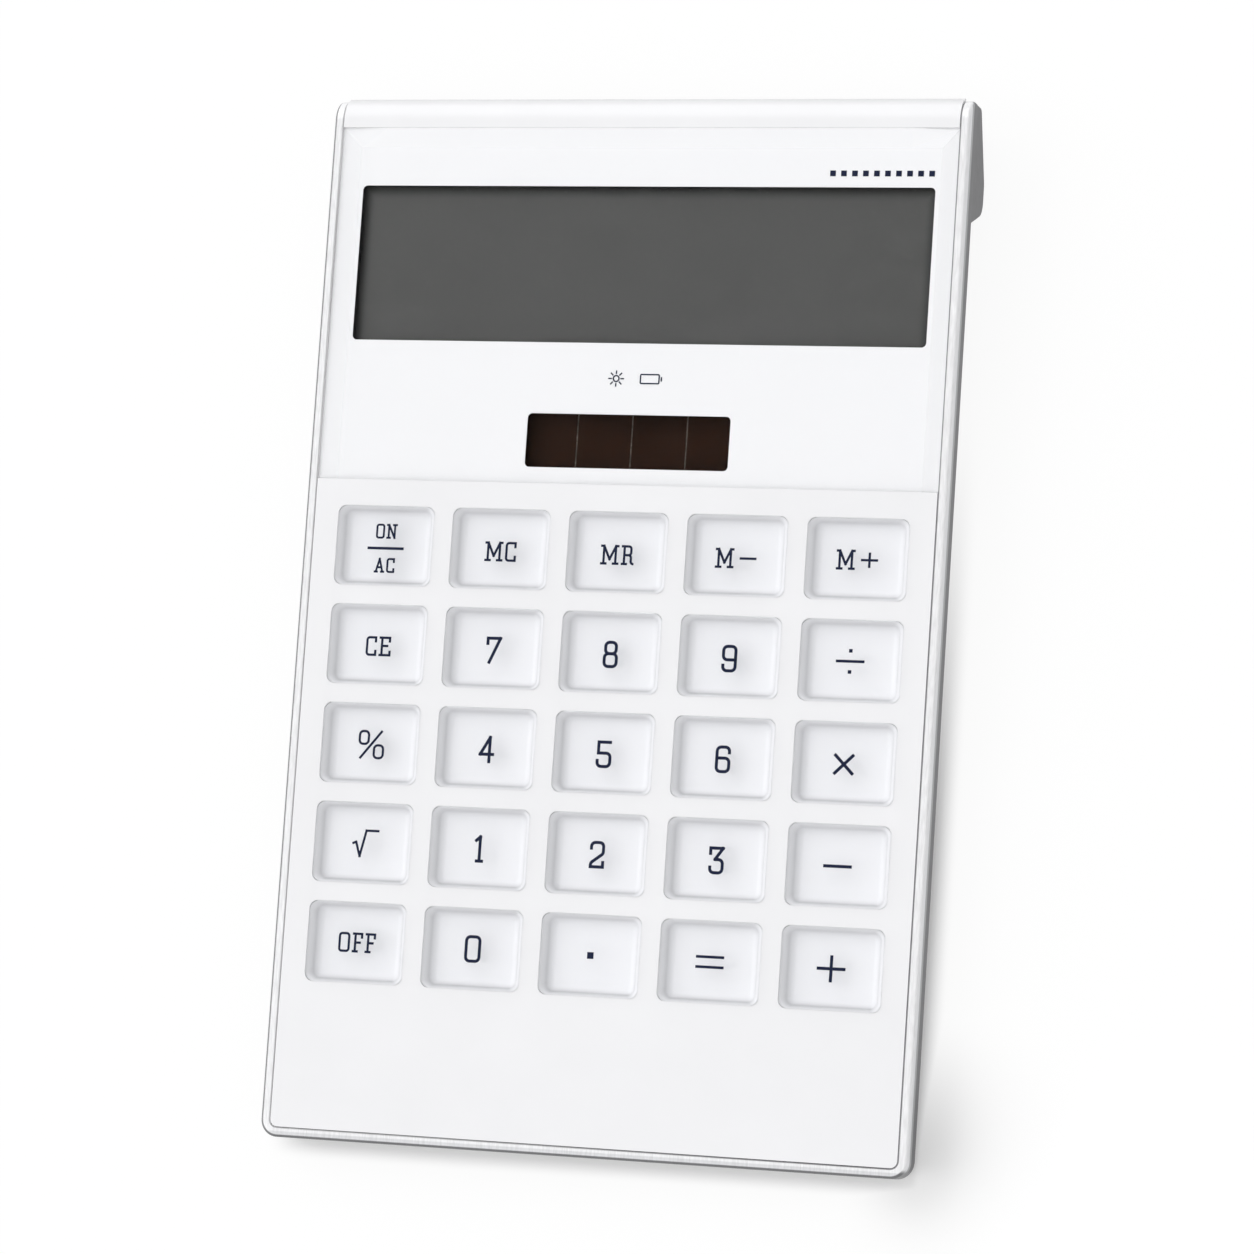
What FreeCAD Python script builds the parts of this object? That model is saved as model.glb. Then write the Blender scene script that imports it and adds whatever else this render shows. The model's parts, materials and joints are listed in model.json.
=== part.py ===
import FreeCAD, Part
import math
import os
import re
import Sketcher

# Slim desk calculator with clear keys, in millimetres.
# Every piece is drawn in the case's own frame: X to the right, Y from the near edge towards the display,
# Z from the back of the case towards the face. The finished case is then tilted onto its feet.
SIZES = {
    # Case
    "case_width": 110.0,
    "case_length": 175.0,
    "face_height": 8.0,
    "lip_width": 1.6,
    "frame_depth": 4.5,
    "frame_corner": 2.8,
    "frame_edge": 0.5,
    "ledge_height": 1.2,
    "ledge_width": 1.3,
    "nose_radius": 4.2,
    "nose_setback": 0.6,
    "plate_corner": 1.2,
    "plate_wall": 2.0,
    "shelf_wall": 1.2,
    "skirt_wall": 1.2,
    "seat_gap": 0.1,
    # Rear cover and its hump
    "rear_inset": 0.5,
    "rear_wall": 1.4,
    "rear_edge": 1.5,
    "hump_length": 19.4,
    "hump_run": 2.4,
    "hump_drop": 6.0,
    "hump_tail": 1.3,
    "hump_round": 3.0,
    "tail_round": 1.0,
    "crest_length": 4.9,
    "label_y": 62.0,
    "label_width": 56.0,
    "label_length": 26.0,
    "label_depth": 0.25,
    "label_corner": 1.5,
    # Display panel and windows
    "lens_y": 139.55,
    "lens_length": 59.7,
    "lens_thickness": 1.5,
    "lens_rib": 1.2,
    "lens_side_round": 0.6,
    "lens_end_round": 0.15,
    "mask_thickness": 0.1,
    "mask_margin": 0.1,
    "display_y": 146.65,
    "display_width": 99.1,
    "display_length": 26.3,
    "solar_y": 117.1,
    "solar_width": 35.0,
    "solar_length": 9.0,
    "window_corner": 0.8,
    "window_step": 0.5,
    # Liquid crystal cell and its holder
    "glass_width": 101.0,
    "glass_length": 32.0,
    "glass_thickness": 0.9,
    "glass_ledge": 3.0,
    "film_thickness": 0.2,
    "film_width": 100.6,
    "film_length": 28.0,
    "holder_wall": 1.2,
    "holder_lip": 3.0,
    "holder_floor": 0.6,
    "ribbon_width": 28.0,
    "ribbon_thickness": 0.1,
    "ribbon_landing": 2.3,
    # Solar cell
    "solar_margin": 1.5,
    "solar_thickness": 1.1,
    "strip_pitch": 9.45,
    "strip_width": 9.0,
    "strip_thickness": 0.1,
    # Keys
    "key_pitch_x": 20.3,
    "key_pitch_y": 16.5,
    "keys_y": 65.6,
    "key_width": 16.7,
    "key_length": 13.0,
    "key_corner": 1.2,
    "key_edge": 0.3,
    "key_gap": 0.12,
    "opening_edge": 0.15,
    "key_rise": 0.4,
    "key_travel": 1.0,
    "flange_width": 0.6,
    "flange_height": 0.9,
    "flange_gap": 0.1,
    # Rubber mat and its domes
    "mat_margin": 5.5,
    "mat_thickness": 0.6,
    "dome_height": 1.2,
    "dome_base": 4.0,
    "dome_top": 2.6,
    "dome_wall": 0.45,
    "pill_radius": 1.7,
    # Circuit board
    "board_inset": 6.0,
    "board_near": 22.0,
    "board_gap": 0.5,
    "board_thickness": 1.0,
    "contact_radius": 2.0,
    "contact_thickness": 0.05,
    "chip_radius": 5.0,
    "chip_height": 0.6,
    "chip_y": 66.0,
    # Fasteners
    "board_boss": 1.7,
    "board_pilot": 0.8,
    "pilot_reach": 0.5,
    "board_shank": 0.75,
    "board_head": 1.6,
    "board_head_height": 0.55,
    "case_boss": 2.6,
    "case_pilot": 1.0,
    "case_shank": 0.95,
    "case_head": 1.9,
    "case_head_height": 1.5,
    "case_screw_inset": 8.5,
    "case_screw_near": 10.0,
    "case_screw_gap": 0.1,
    "boss_step": 0.4,
    "counterbore": 2.2,
    "counterbore_depth": 2.4,
    "screw_gap": 0.2,
    "cross_width": 0.5,
    "cross_share": 0.65,
    # Button cell, its well, contacts and door
    "cell_inset": 16.5,
    "cell_y": 120.6,
    "cell_radius": 5.8,
    "cell_height": 3.05,
    "can_height": 2.65,
    "can_wall": 0.3,
    "gasket_wall": 0.5,
    "cell_gap": 0.2,
    "well_wall": 1.0,
    "well_gap": 0.1,
    "contact_sheet": 0.25,
    "contact_width": 5.0,
    "contact_reach": 6.0,
    "contact_touch": 0.05,
    "bump_radius": 1.4,
    "door_reach": 30.0,
    "door_tongue": 0.7,
    "door_ledge": 0.6,
    "door_gap": 0.1,
    "door_rail": 0.8,
    "grip_pitch": 2.4,
    "grip_width": 0.9,
    "grip_length": 8.0,
    "grip_depth": 0.4,
    # Insulated wires
    "wire_radius": 0.45,
    "wire_lead": 4.0,
    "wire_landing": 2.5,
    "wire_spread": 1.0,
    # Feet
    "foot_inset": 16.0,
    "foot_y": 15.0,
    "foot_radius": 4.5,
    "foot_height": 0.9,
    "foot_seat": 0.4,
    "rear_foot_inset": 17.0,
    "rear_foot_width": 16.0,
    "rear_foot_length": 2.4,
    "rear_foot_setback": 1.75,
    "rear_foot_height": 0.6,
}

KEY_ROWS = [
    ["key_off", "key_0", "key_point", "key_equals", "key_plus"],
    ["key_root", "key_1", "key_2", "key_3", "key_minus"],
    ["key_percent", "key_4", "key_5", "key_6", "key_times"],
    ["key_ce", "key_7", "key_8", "key_9", "key_divide"],
    ["key_on_ac", "key_mc", "key_mr", "key_m_minus", "key_m_plus"],
]
KEY_COUNT = len(KEY_ROWS[0])
ROW_COUNT = len(KEY_ROWS)

doc = FreeCAD.newDocument("desk_calculator")
sheet = doc.addObject("Spreadsheet::Sheet", "Sizes")
for row, (alias, value) in enumerate(SIZES.items(), 1):
    sheet.set(f"A{row}", alias)
    sheet.set(f"B{row}", str(value))
    sheet.setAlias(f"B{row}", alias)
doc.recompute()

# Heights that several pieces share, as formulas of the sheet.
FRAME_BOTTOM = "(face_height - frame_depth)"
SKIRT_BOTTOM = f"({FRAME_BOTTOM} + ledge_height)"
PLATE_UNDER = "(face_height - plate_wall)"
SHELF_TOP = "(face_height - lens_thickness - mask_thickness)"
SHELF_UNDER = f"({SHELF_TOP} - shelf_wall)"
KEY_BOTTOM = f"({PLATE_UNDER} - flange_gap - flange_height)"
MAT_TOP = f"({KEY_BOTTOM} - dome_height)"
BOARD_TOP = f"({MAT_TOP} - mat_thickness)"
BOARD_UNDER = f"({BOARD_TOP} - board_thickness)"
BOSS_MEET = f"({FRAME_BOTTOM} + boss_step)"
PILOT_TOP = f"({SHELF_UNDER} + pilot_reach)"
GLASS_TOP = f"({SHELF_UNDER} - film_thickness)"
GLASS_JOINT = f"({GLASS_TOP} - glass_thickness)"
GLASS_UNDER = f"({GLASS_JOINT} - glass_thickness)"
REFLECTOR_UNDER = f"({GLASS_UNDER} - film_thickness)"
SOLAR_UNDER = f"({SHELF_UNDER} - solar_thickness)"
STRIP_UNDER = f"({SOLAR_UNDER} - strip_thickness)"
CELL_UNDER = "(rear_wall + cell_gap)"

# Plan outlines that several pieces share.
PLATE_HALF = "(case_width / 2 - lip_width - seat_gap)"
REAR_HALF = "(case_width / 2 - rear_inset)"
CELL_X = f"({REAR_HALF} - cell_inset)"
DOOR_HALF = "(cell_radius + cell_gap + well_wall + well_gap)"
RAIL_HALF = f"({DOOR_HALF} + door_tongue + door_gap + door_rail)"
CASE_SCREW_FAR = f"(cell_y - {RAIL_HALF} - counterbore - case_screw_gap)"
BOARD_FAR = f"({CASE_SCREW_FAR} - case_boss - board_gap)"
MAT_REACH = f"({(ROW_COUNT - 1) / 2} * key_pitch_y + mat_margin)"
BOARD_HALF = "(case_width / 2 - board_inset)"
CASE_SCREW_X = "(case_width / 2 - case_screw_inset)"
FOOT_X = "(case_width / 2 - foot_inset)"
REAR_FOOT_X = "(case_width / 2 - rear_foot_inset)"
RAIL_END = "(case_length - nose_setback)"
HUMP_START = "(case_length - hump_length)"
CREST_START = f"({HUMP_START} + hump_run)"
CREST_END = f"({CREST_START} + crest_length)"
REAR_FOOT_Y = f"({CREST_END} - rear_foot_setback)"
LENS_NEAR = "(lens_y - lens_length / 2)"
LENS_FAR = "(lens_y + lens_length / 2)"

BOARD_BOSSES = [(-1.5, -1.5), (1.5, -1.5), (-1.5, 1.5), (1.5, 1.5), (-0.5, -0.5), (0.5, 0.5)]
CASE_SCREWS = [
    (f"-{CASE_SCREW_X}", "case_screw_near"),
    (CASE_SCREW_X, "case_screw_near"),
    (f"-{CASE_SCREW_X}", CASE_SCREW_FAR),
    (CASE_SCREW_X, CASE_SCREW_FAR),
]


# Formulas and sketches
def size(formula):
    """The formula with each size written as a cell of the sheet."""
    return re.sub(r"[a-z_]\w*", lambda word: f"Sizes.{word[0]}" if word[0] in SIZES else word[0], str(formula))


def number(formula):
    """The formula's present value."""
    value = sheet.evalExpression(size(formula))
    return float(getattr(value, "Value", value))


def bind(sketch, constraint, formula):
    """Adds a dimension to the sketch and ties it to a formula."""
    index = sketch.addConstraint(constraint)
    sketch.setExpression(f"Constraints[{index}]", size(formula))


def pin(sketch, geometry, point, x, y):
    """Fixes a point of the sketch at two formulas measured from the sketch's origin."""
    for kind, formula, axis in (("DistanceX", x, -2), ("DistanceY", y, -1)):
        if formula == "0":
            sketch.addConstraint(Sketcher.Constraint("PointOnObject", geometry, point, axis))
        else:
            bind(sketch, Sketcher.Constraint(kind, -1, 1, geometry, point, number(formula)), formula)


def add_polygon(sketch, corners):
    """Draws a closed outline of straight sides through corners given as pairs of formulas."""
    spots = [FreeCAD.Vector(number(x), number(y), 0) for x, y in corners]
    sides = []
    for start, end in zip(spots, spots[1:] + spots[:1]):
        sides.append(sketch.addGeometry(Part.LineSegment(start, end)))
    for side, following in zip(sides, sides[1:] + sides[:1]):
        sketch.addConstraint(Sketcher.Constraint("Coincident", side, 2, following, 1))
    for side, (x, y) in zip(sides, corners):
        pin(sketch, side, 1, x, y)


def add_rectangle(sketch, left, right, near, far):
    """Draws a rectangle between two X formulas and two Y formulas."""
    add_polygon(sketch, [(left, near), (right, near), (right, far), (left, far)])


def add_rounded(sketch, x, y, width, length, radius):
    """Draws a rectangle with rounded corners about a centre."""
    left = f"{x} - ({width}) / 2 + {radius}"
    right = f"{x} + ({width}) / 2 - ({radius})"
    near = f"{y} - ({length}) / 2 + {radius}"
    far = f"{y} + ({length}) / 2 - ({radius})"
    bend = number(radius)
    centres = [(left, near), (right, near), (right, far), (left, far)]
    arcs = []
    for quarter, (cx, cy) in enumerate(centres):
        start = math.pi + quarter * math.pi / 2
        circle = Part.Circle(FreeCAD.Vector(number(cx), number(cy), 0), FreeCAD.Vector(0, 0, 1), bend)
        arcs.append(sketch.addGeometry(Part.ArcOfCircle(circle, start, start + math.pi / 2)))
    for index, arc in enumerate(arcs):
        following = arcs[(index + 1) % len(arcs)]
        ends = (sketch.getPoint(arc, 2), sketch.getPoint(following, 1))
        side = sketch.addGeometry(Part.LineSegment(*ends))
        sketch.addConstraint(Sketcher.Constraint("Tangent", arc, 2, side, 1))
        sketch.addConstraint(Sketcher.Constraint("Tangent", side, 2, following, 1))
        sketch.addConstraint(Sketcher.Constraint("Vertical" if index % 2 else "Horizontal", side))
    for arc in arcs[1:]:
        sketch.addConstraint(Sketcher.Constraint("Equal", arcs[0], arc))
    bind(sketch, Sketcher.Constraint("Radius", arcs[0], bend), radius)
    pin(sketch, arcs[0], 3, left, near)
    pin(sketch, arcs[2], 3, right, far)


def add_circle(sketch, x, y, radius):
    """Draws a circle about a centre."""
    centre = FreeCAD.Vector(number(x), number(y), 0)
    circle = sketch.addGeometry(Part.Circle(centre, FreeCAD.Vector(0, 0, 1), number(radius)))
    bind(sketch, Sketcher.Constraint("Radius", circle, number(radius)), radius)
    pin(sketch, circle, 3, x, y)


# Bodies and features
def new_body(label):
    body = doc.addObject("PartDesign::Body", label)
    body.Label = label
    return body


def new_sketch(body, name, height="0", plane="XY_Plane"):
    """An empty sketch on one of the body's origin planes, lifted along the plane's normal."""
    sketch = body.newObject("Sketcher::SketchObject", f"{body.Label}_{name}_sketch")
    support = next(item for item in body.Origin.OriginFeatures if item.Role == plane)
    sketch.AttachmentSupport = (support, [""])
    sketch.MapMode = "FlatFace"
    if height != "0":
        sketch.setExpression("AttachmentOffset.Base.z", size(height))
    return sketch


def pad(body, sketch, name, length, symmetric=False):
    """Adds material from the sketch upwards, or to both sides of it."""
    feature = body.newObject("PartDesign::Pad", f"{body.Label}_{name}")
    feature.Profile = sketch
    feature.setExpression("Length", size(length))
    if symmetric:
        feature.SideType = "Symmetric"
    doc.recompute()
    return feature


def pocket(body, sketch, name, depth):
    """Removes material from the sketch downwards, and refuses a cut that takes nothing."""
    before = body.Shape.Volume
    feature = body.newObject("PartDesign::Pocket", f"{body.Label}_{name}")
    feature.Profile = sketch
    feature.setExpression("Length", size(depth))
    doc.recompute()
    if body.Shape.Volume >= before:
        raise RuntimeError(f"{feature.Name} cuts nothing")
    return feature


def repeat_over_keys(body, feature):
    """Repeats a feature made at the first key of the near row over all the keys."""
    origin = {item.Role: item for item in body.Origin.OriginFeatures}
    pattern = body.newObject("PartDesign::LinearPattern", f"{feature.Name}_pattern")
    pattern.Originals = [feature]
    pattern.Direction = (origin["X_Axis"], [""])
    pattern.Direction2 = (origin["Y_Axis"], [""])
    pattern.Occurrences = KEY_COUNT
    pattern.Occurrences2 = ROW_COUNT
    pattern.setExpression("Length", size(f"key_pitch_x * {KEY_COUNT - 1}"))
    pattern.setExpression("Length2", size(f"key_pitch_y * {ROW_COUNT - 1}"))
    body.Tip = pattern
    doc.recompute()
    return pattern


def find_edges(feature, wanted):
    """Names of the feature's edges whose middle point and direction pass the test."""
    names = []
    for index, edge in enumerate(feature.Shape.Edges, 1):
        middle = edge.valueAt((edge.FirstParameter + edge.LastParameter) / 2)
        direction = edge.tangentAt((edge.FirstParameter + edge.LastParameter) / 2)
        if wanted(middle, direction):
            names.append(f"Edge{index}")
    return names


def near(value, formula):
    return abs(value - number(formula)) < 0.02


def fillet(body, feature, name, radius, wanted):
    """Rounds the edges that pass the test."""
    feature_round = body.newObject("PartDesign::Fillet", f"{body.Label}_{name}")
    feature_round.Base = (feature, find_edges(feature, wanted))
    feature_round.setExpression("Radius", size(radius))
    doc.recompute()
    return feature_round


def plate(label, z, thickness, draw):
    """A flat piece: an outline drawn by the given function, made thick upwards from a height."""
    body = new_body(label)
    sketch = new_sketch(body, "outline", z)
    draw(sketch)
    pad(body, sketch, "plate", thickness)
    return body


def cylinder(name, x, y, z, radius, height):
    """A plain upright cylinder tied to the sheet."""
    piece = doc.addObject("Part::Cylinder", name)
    piece.setExpression("Radius", size(radius))
    piece.setExpression("Height", size(height))
    for axis, formula in zip("xyz", (x, y, z)):
        piece.setExpression(f"Placement.Base.{axis}", size(formula))
    return piece


def box(name, x, y, z, width, length, height):
    """A plain box tied to the sheet, centred in plan on a point."""
    piece = doc.addObject("Part::Box", name)
    spans = (("Length", width, "x", f"{x} - ({width}) / 2"), ("Width", length, "y", f"{y} - ({length}) / 2"),
             ("Height", height, "z", z))
    for side, span, axis, start in spans:
        piece.setExpression(side, size(span))
        piece.setExpression(f"Placement.Base.{axis}", size(start))
    return piece


def group(label, pieces):
    """Separate solids that share one node."""
    compound = doc.addObject("Part::Compound", label)
    compound.Label = label
    compound.Links = pieces
    doc.recompute()
    return compound


def key_spots():
    """Name, X and Y of every key, near row first."""
    for row, names in enumerate(KEY_ROWS):
        for column, name in enumerate(names):
            x = f"({column - (KEY_COUNT - 1) / 2} * key_pitch_x)"
            y = f"(keys_y + {row - (ROW_COUNT - 1) / 2} * key_pitch_y)"
            yield name, x, y


def first_key():
    """X and Y of the key that the patterns start from."""
    _, x, y = next(key_spots())
    return x, y


def boss_spots():
    """X and Y of the board's screws, where four keys meet."""
    for column, row in BOARD_BOSSES:
        yield f"({column} * key_pitch_x)", f"(keys_y + {row} * key_pitch_y)"


# Case
def make_front_cover():
    """White face: plate with key openings, shelf under the clear panel, rolled top end and inner bosses."""
    body = new_body("front_cover")
    near_edge = "(lip_width + seat_gap)"
    outline = new_sketch(body, "block", FRAME_BOTTOM)
    add_rectangle(outline, f"-{PLATE_HALF}", PLATE_HALF, near_edge, "case_length")
    block = pad(body, outline, "block", "frame_depth")
    corners = fillet(body, block, "corners", "plate_corner",
                     lambda spot, way: abs(way.z) > 0.99 and near(spot.y, near_edge))
    nose = fillet(body, corners, "nose", "nose_radius",
                  lambda spot, way: abs(way.x) > 0.99 and near(spot.y, "case_length") and near(spot.z, "face_height"))
    body.Tip = nose

    seat = new_sketch(body, "seat", SKIRT_BOTTOM)
    add_rectangle(seat, "-case_width", "case_width", "-lip_width", "case_length + lip_width")
    pocket(body, seat, "seat", "ledge_height")

    inner = f"({PLATE_HALF} - skirt_wall)"
    under_display = new_sketch(body, "under_display", SHELF_UNDER)
    add_rectangle(under_display, f"-{inner}", inner, f"({LENS_NEAR} - lens_rib)",
                  "(case_length - skirt_wall)")
    pocket(body, under_display, "under_display", f"{SHELF_UNDER} - {FRAME_BOTTOM}")
    under_keys = new_sketch(body, "under_keys", PLATE_UNDER)
    add_rectangle(under_keys, f"-{inner}", inner, f"({near_edge} + skirt_wall)", f"({LENS_NEAR} - lens_rib)")
    pocket(body, under_keys, "under_keys", f"{PLATE_UNDER} - {FRAME_BOTTOM}")

    lens_seat = new_sketch(body, "lens_seat", "face_height")
    add_rectangle(lens_seat, "-case_width", "case_width", LENS_NEAR, LENS_FAR)
    pocket(body, lens_seat, "lens_seat", "lens_thickness + mask_thickness")

    windows = new_sketch(body, "windows", SHELF_TOP)
    add_rounded(windows, "0", "display_y", "display_width + 2 * window_step",
                "display_length + 2 * window_step", "window_corner")
    add_rounded(windows, "0", "solar_y", "solar_width + 2 * window_step",
                "solar_length + 2 * window_step", "window_corner")
    pocket(body, windows, "windows", "shelf_wall")

    opening = new_sketch(body, "key_opening", "face_height")
    add_rounded(opening, *first_key(), "key_width + 2 * key_gap", "key_length + 2 * key_gap",
                "key_corner + key_gap")
    openings = repeat_over_keys(body, pocket(body, opening, "key_opening", "plate_wall"))
    far_row = f"(keys_y + {ROW_COUNT / 2} * key_pitch_y)"
    body.Tip = fillet(body, openings, "opening_edges", "opening_edge",
                      lambda spot, way: near(spot.z, "face_height") and number("keys_y - 3 * key_pitch_y") < spot.y
                      < number(far_row) and abs(spot.x) < number(inner))

    posts = new_sketch(body, "board_bosses", BOARD_TOP)
    for x, y in boss_spots():
        add_circle(posts, x, y, "board_boss")
    pad(body, posts, "board_bosses", f"{PLATE_UNDER} - {BOARD_TOP}")
    pilots = new_sketch(body, "board_pilots", f"({PLATE_UNDER} + pilot_reach)")
    for x, y in boss_spots():
        add_circle(pilots, x, y, "board_pilot")
    pocket(body, pilots, "board_pilots", f"{PLATE_UNDER} + pilot_reach - {BOARD_TOP}")

    pillars = new_sketch(body, "case_bosses", BOSS_MEET)
    for x, y in CASE_SCREWS:
        add_circle(pillars, x, y, "case_boss")
    pad(body, pillars, "case_bosses", f"{PLATE_UNDER} - {BOSS_MEET}")

    well = new_sketch(body, "cell_well", f"({CELL_UNDER} + cell_gap)")
    add_circle(well, f"-{CELL_X}", "cell_y", "cell_radius + cell_gap + well_wall")
    add_circle(well, f"-{CELL_X}", "cell_y", "cell_radius + cell_gap")
    pad(body, well, "cell_well", f"{SHELF_UNDER} - {CELL_UNDER} - cell_gap")
    slots = new_sketch(body, "well_slots", SHELF_UNDER)
    reach = "(cell_radius + cell_gap + well_wall + cell_gap)"
    add_rectangle(slots, f"-{CELL_X} - {reach}", f"-{CELL_X} + {reach}",
                  "cell_y - contact_width / 2 - cell_gap", "cell_y + contact_width / 2 + cell_gap")
    pocket(body, slots, "well_slots", f"{SHELF_UNDER} - {CELL_UNDER}")

    case_pilots = new_sketch(body, "case_pilots", PILOT_TOP)
    for x, y in CASE_SCREWS:
        add_circle(case_pilots, x, y, "case_pilot")
    pocket(body, case_pilots, "case_pilots", f"{PILOT_TOP} - {BOSS_MEET}")
    return body


def make_side_frame():
    """Silver frame: two rails and a near bar with a lip on the face, a ledge inside and a tie bar at the far end."""
    body = new_body("side_frame")
    outline = new_sketch(body, "block", FRAME_BOTTOM)
    add_rectangle(outline, "-case_width / 2", "case_width / 2", "0", RAIL_END)
    block = pad(body, outline, "block", "frame_depth")
    corners = fillet(body, block, "corners", "frame_corner",
                     lambda spot, way: abs(way.z) > 0.99 and near(spot.y, "0"))
    nose = fillet(body, corners, "nose", "nose_radius - nose_setback",
                  lambda spot, way: abs(way.x) > 0.99 and near(spot.y, RAIL_END) and near(spot.z, "face_height"))
    edges = fillet(body, nose, "edges", "frame_edge",
                   lambda spot, way: near(spot.z, "face_height") and abs(way.x) < 0.99 and abs(way.y) > 0.99)
    body.Tip = edges

    inner = "(case_width / 2 - lip_width)"
    opening = new_sketch(body, "opening", "face_height")
    add_rectangle(opening, f"-{inner}", inner, "lip_width", "case_length + lip_width")
    cut = pocket(body, opening, "opening", "frame_depth - ledge_height")
    rounded = fillet(body, cut, "opening_corners", "plate_corner + seat_gap",
                     lambda spot, way: abs(way.z) > 0.99 and near(spot.y, "lip_width"))
    body.Tip = rounded
    through = new_sketch(body, "through", "face_height")
    add_rectangle(through, f"-({inner} - ledge_width)", f"({inner} - ledge_width)",
                  "lip_width + ledge_width", f"{RAIL_END} - ledge_width")
    pocket(body, through, "through", "frame_depth")
    return body


def make_rear_cover():
    """Rear tray with the hump that tilts the case, screw bosses, the door's opening and seats for the feet."""
    body = new_body("rear_cover")
    far_edge = "(case_length - rear_inset)"
    profile = new_sketch(body, "profile", plane="YZ_Plane")
    add_polygon(profile, [
        ("rear_inset", FRAME_BOTTOM),
        ("rear_inset", "0"),
        (HUMP_START, "0"),
        (CREST_START, "-hump_drop"),
        (CREST_END, "-hump_drop"),
        (far_edge, "-hump_tail"),
        (far_edge, FRAME_BOTTOM),
    ])
    block = pad(body, profile, "block", f"2 * {REAR_HALF}", symmetric=True)
    shell = body.newObject("PartDesign::Thickness", "rear_cover_shell")
    mouth = [f"Face{index}" for index, face in enumerate(block.Shape.Faces, 1)
             if near(face.CenterOfMass.z, FRAME_BOTTOM)]
    shell.Base = (block, mouth)
    shell.setExpression("Value", size("rear_wall"))
    shell.Reversed = True
    shell.Join = "Intersection"
    doc.recompute()

    corners = fillet(body, shell, "corners", "frame_corner - rear_inset",
                     lambda spot, way: abs(way.z) > 0.99 and near(spot.y, "rear_inset") and near(abs(spot.x), REAR_HALF))
    crest = fillet(body, corners, "crest", "hump_round",
                   lambda spot, way: abs(way.x) > 0.99 and any(
                       near(spot.y, y) and near(spot.z, z)
                       for y, z in ((CREST_START, "-hump_drop"), (CREST_END, "-hump_drop"))))
    tail = fillet(body, crest, "tail", "tail_round",
                  lambda spot, way: abs(way.x) > 0.99 and near(spot.y, far_edge) and near(spot.z, "-hump_tail"))
    edges = fillet(body, tail, "edges", "rear_edge",
                   lambda spot, way: abs(way.y) > 0.99 and near(spot.z, "0") and near(abs(spot.x), REAR_HALF))
    body.Tip = edges

    bosses = new_sketch(body, "bosses", "rear_wall / 2")
    for x, y in CASE_SCREWS:
        add_circle(bosses, x, y, "counterbore + rear_wall / 2")
    pad(body, bosses, "bosses", f"{BOSS_MEET} - rear_wall / 2")
    heads = new_sketch(body, "counterbores", "counterbore_depth")
    for x, y in CASE_SCREWS:
        add_circle(heads, x, y, "counterbore")
    pocket(body, heads, "counterbores", "counterbore_depth")
    holes = new_sketch(body, "screw_holes", BOSS_MEET)
    for x, y in CASE_SCREWS:
        add_circle(holes, x, y, "case_pilot + screw_gap")
    pocket(body, holes, "screw_holes", BOSS_MEET)

    door_end = f"(door_reach - {REAR_HALF})"
    rails = new_sketch(body, "door_rails", "rear_wall / 2")
    add_rectangle(rails, f"-({REAR_HALF} - rear_wall)", f"{door_end} + door_rail",
                  f"cell_y - {RAIL_HALF}", f"cell_y + {RAIL_HALF}")
    pad(body, rails, "door_rails", "rear_wall / 2 + door_rail")
    doorway = new_sketch(body, "doorway", FRAME_BOTTOM)
    add_rectangle(doorway, "-case_width", f"{door_end} + door_gap", f"cell_y - {DOOR_HALF}", f"cell_y + {DOOR_HALF}")
    pocket(body, doorway, "doorway", FRAME_BOTTOM)
    groove = new_sketch(body, "door_groove", "rear_wall + door_gap")
    add_rectangle(groove, "-case_width", f"{door_end} + door_gap", f"cell_y - ({RAIL_HALF} - door_rail)",
                  f"cell_y + ({RAIL_HALF} - door_rail)")
    pocket(body, groove, "door_groove", "rear_wall + door_gap - door_ledge")

    label = new_sketch(body, "label_recess", "label_depth")
    add_rounded(label, "0", "label_y", "label_width", "label_length", "label_corner")
    pocket(body, label, "label_recess", "label_depth")
    foot_seats = new_sketch(body, "foot_seats", "foot_seat")
    for x in (f"-{FOOT_X}", FOOT_X):
        add_circle(foot_seats, x, "foot_y", "foot_radius + seat_gap")
    pocket(body, foot_seats, "foot_seats", "foot_seat")
    strips = new_sketch(body, "strip_seats", "foot_seat - hump_drop")
    for x in (f"-{REAR_FOOT_X}", REAR_FOOT_X):
        add_rounded(strips, x, REAR_FOOT_Y, "rear_foot_width + 2 * seat_gap",
                    "rear_foot_length + 2 * seat_gap", "rear_foot_length / 3")
    pocket(body, strips, "strip_seats", "foot_seat")
    return body


def make_battery_door():
    """Sliding door in the left edge of the rear cover, with tongues along its sides and grip grooves."""
    body = new_body("battery_door")
    start = f"-{REAR_HALF}"
    end = f"(door_reach - {REAR_HALF})"
    top = f"({FRAME_BOTTOM} - door_gap)"
    half = f"({DOOR_HALF} - door_gap)"
    floor = new_sketch(body, "floor")
    add_rectangle(floor, start, end, f"cell_y - {half}", f"cell_y + {half}")
    pad(body, floor, "floor", "rear_wall")
    wall = new_sketch(body, "wall")
    add_rectangle(wall, start, f"{start} + rear_wall", f"cell_y - {half}", f"cell_y + {half}")
    upright = pad(body, wall, "wall", top)
    edge = fillet(body, upright, "edge", "rear_edge",
                  lambda spot, way: abs(way.y) > 0.99 and near(spot.x, start) and near(spot.z, "0"))
    body.Tip = edge
    tongues = new_sketch(body, "tongues", "door_ledge + door_gap")
    add_rectangle(tongues, f"{start} + rear_wall", end, f"cell_y - {half} - door_tongue",
                  f"cell_y + {half} + door_tongue")
    pad(body, tongues, "tongues", "rear_wall - door_ledge - door_gap")
    for step in (-1, 0, 1):
        grip = new_sketch(body, f"grip_{step + 2}", "grip_depth")
        spot = f"({start} + door_reach / 4 + {step} * grip_pitch)"
        add_rounded(grip, spot, "cell_y", "grip_width", "grip_length", "grip_width / 3")
        pocket(body, grip, f"grip_{step + 2}", "grip_depth")
    return body


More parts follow.
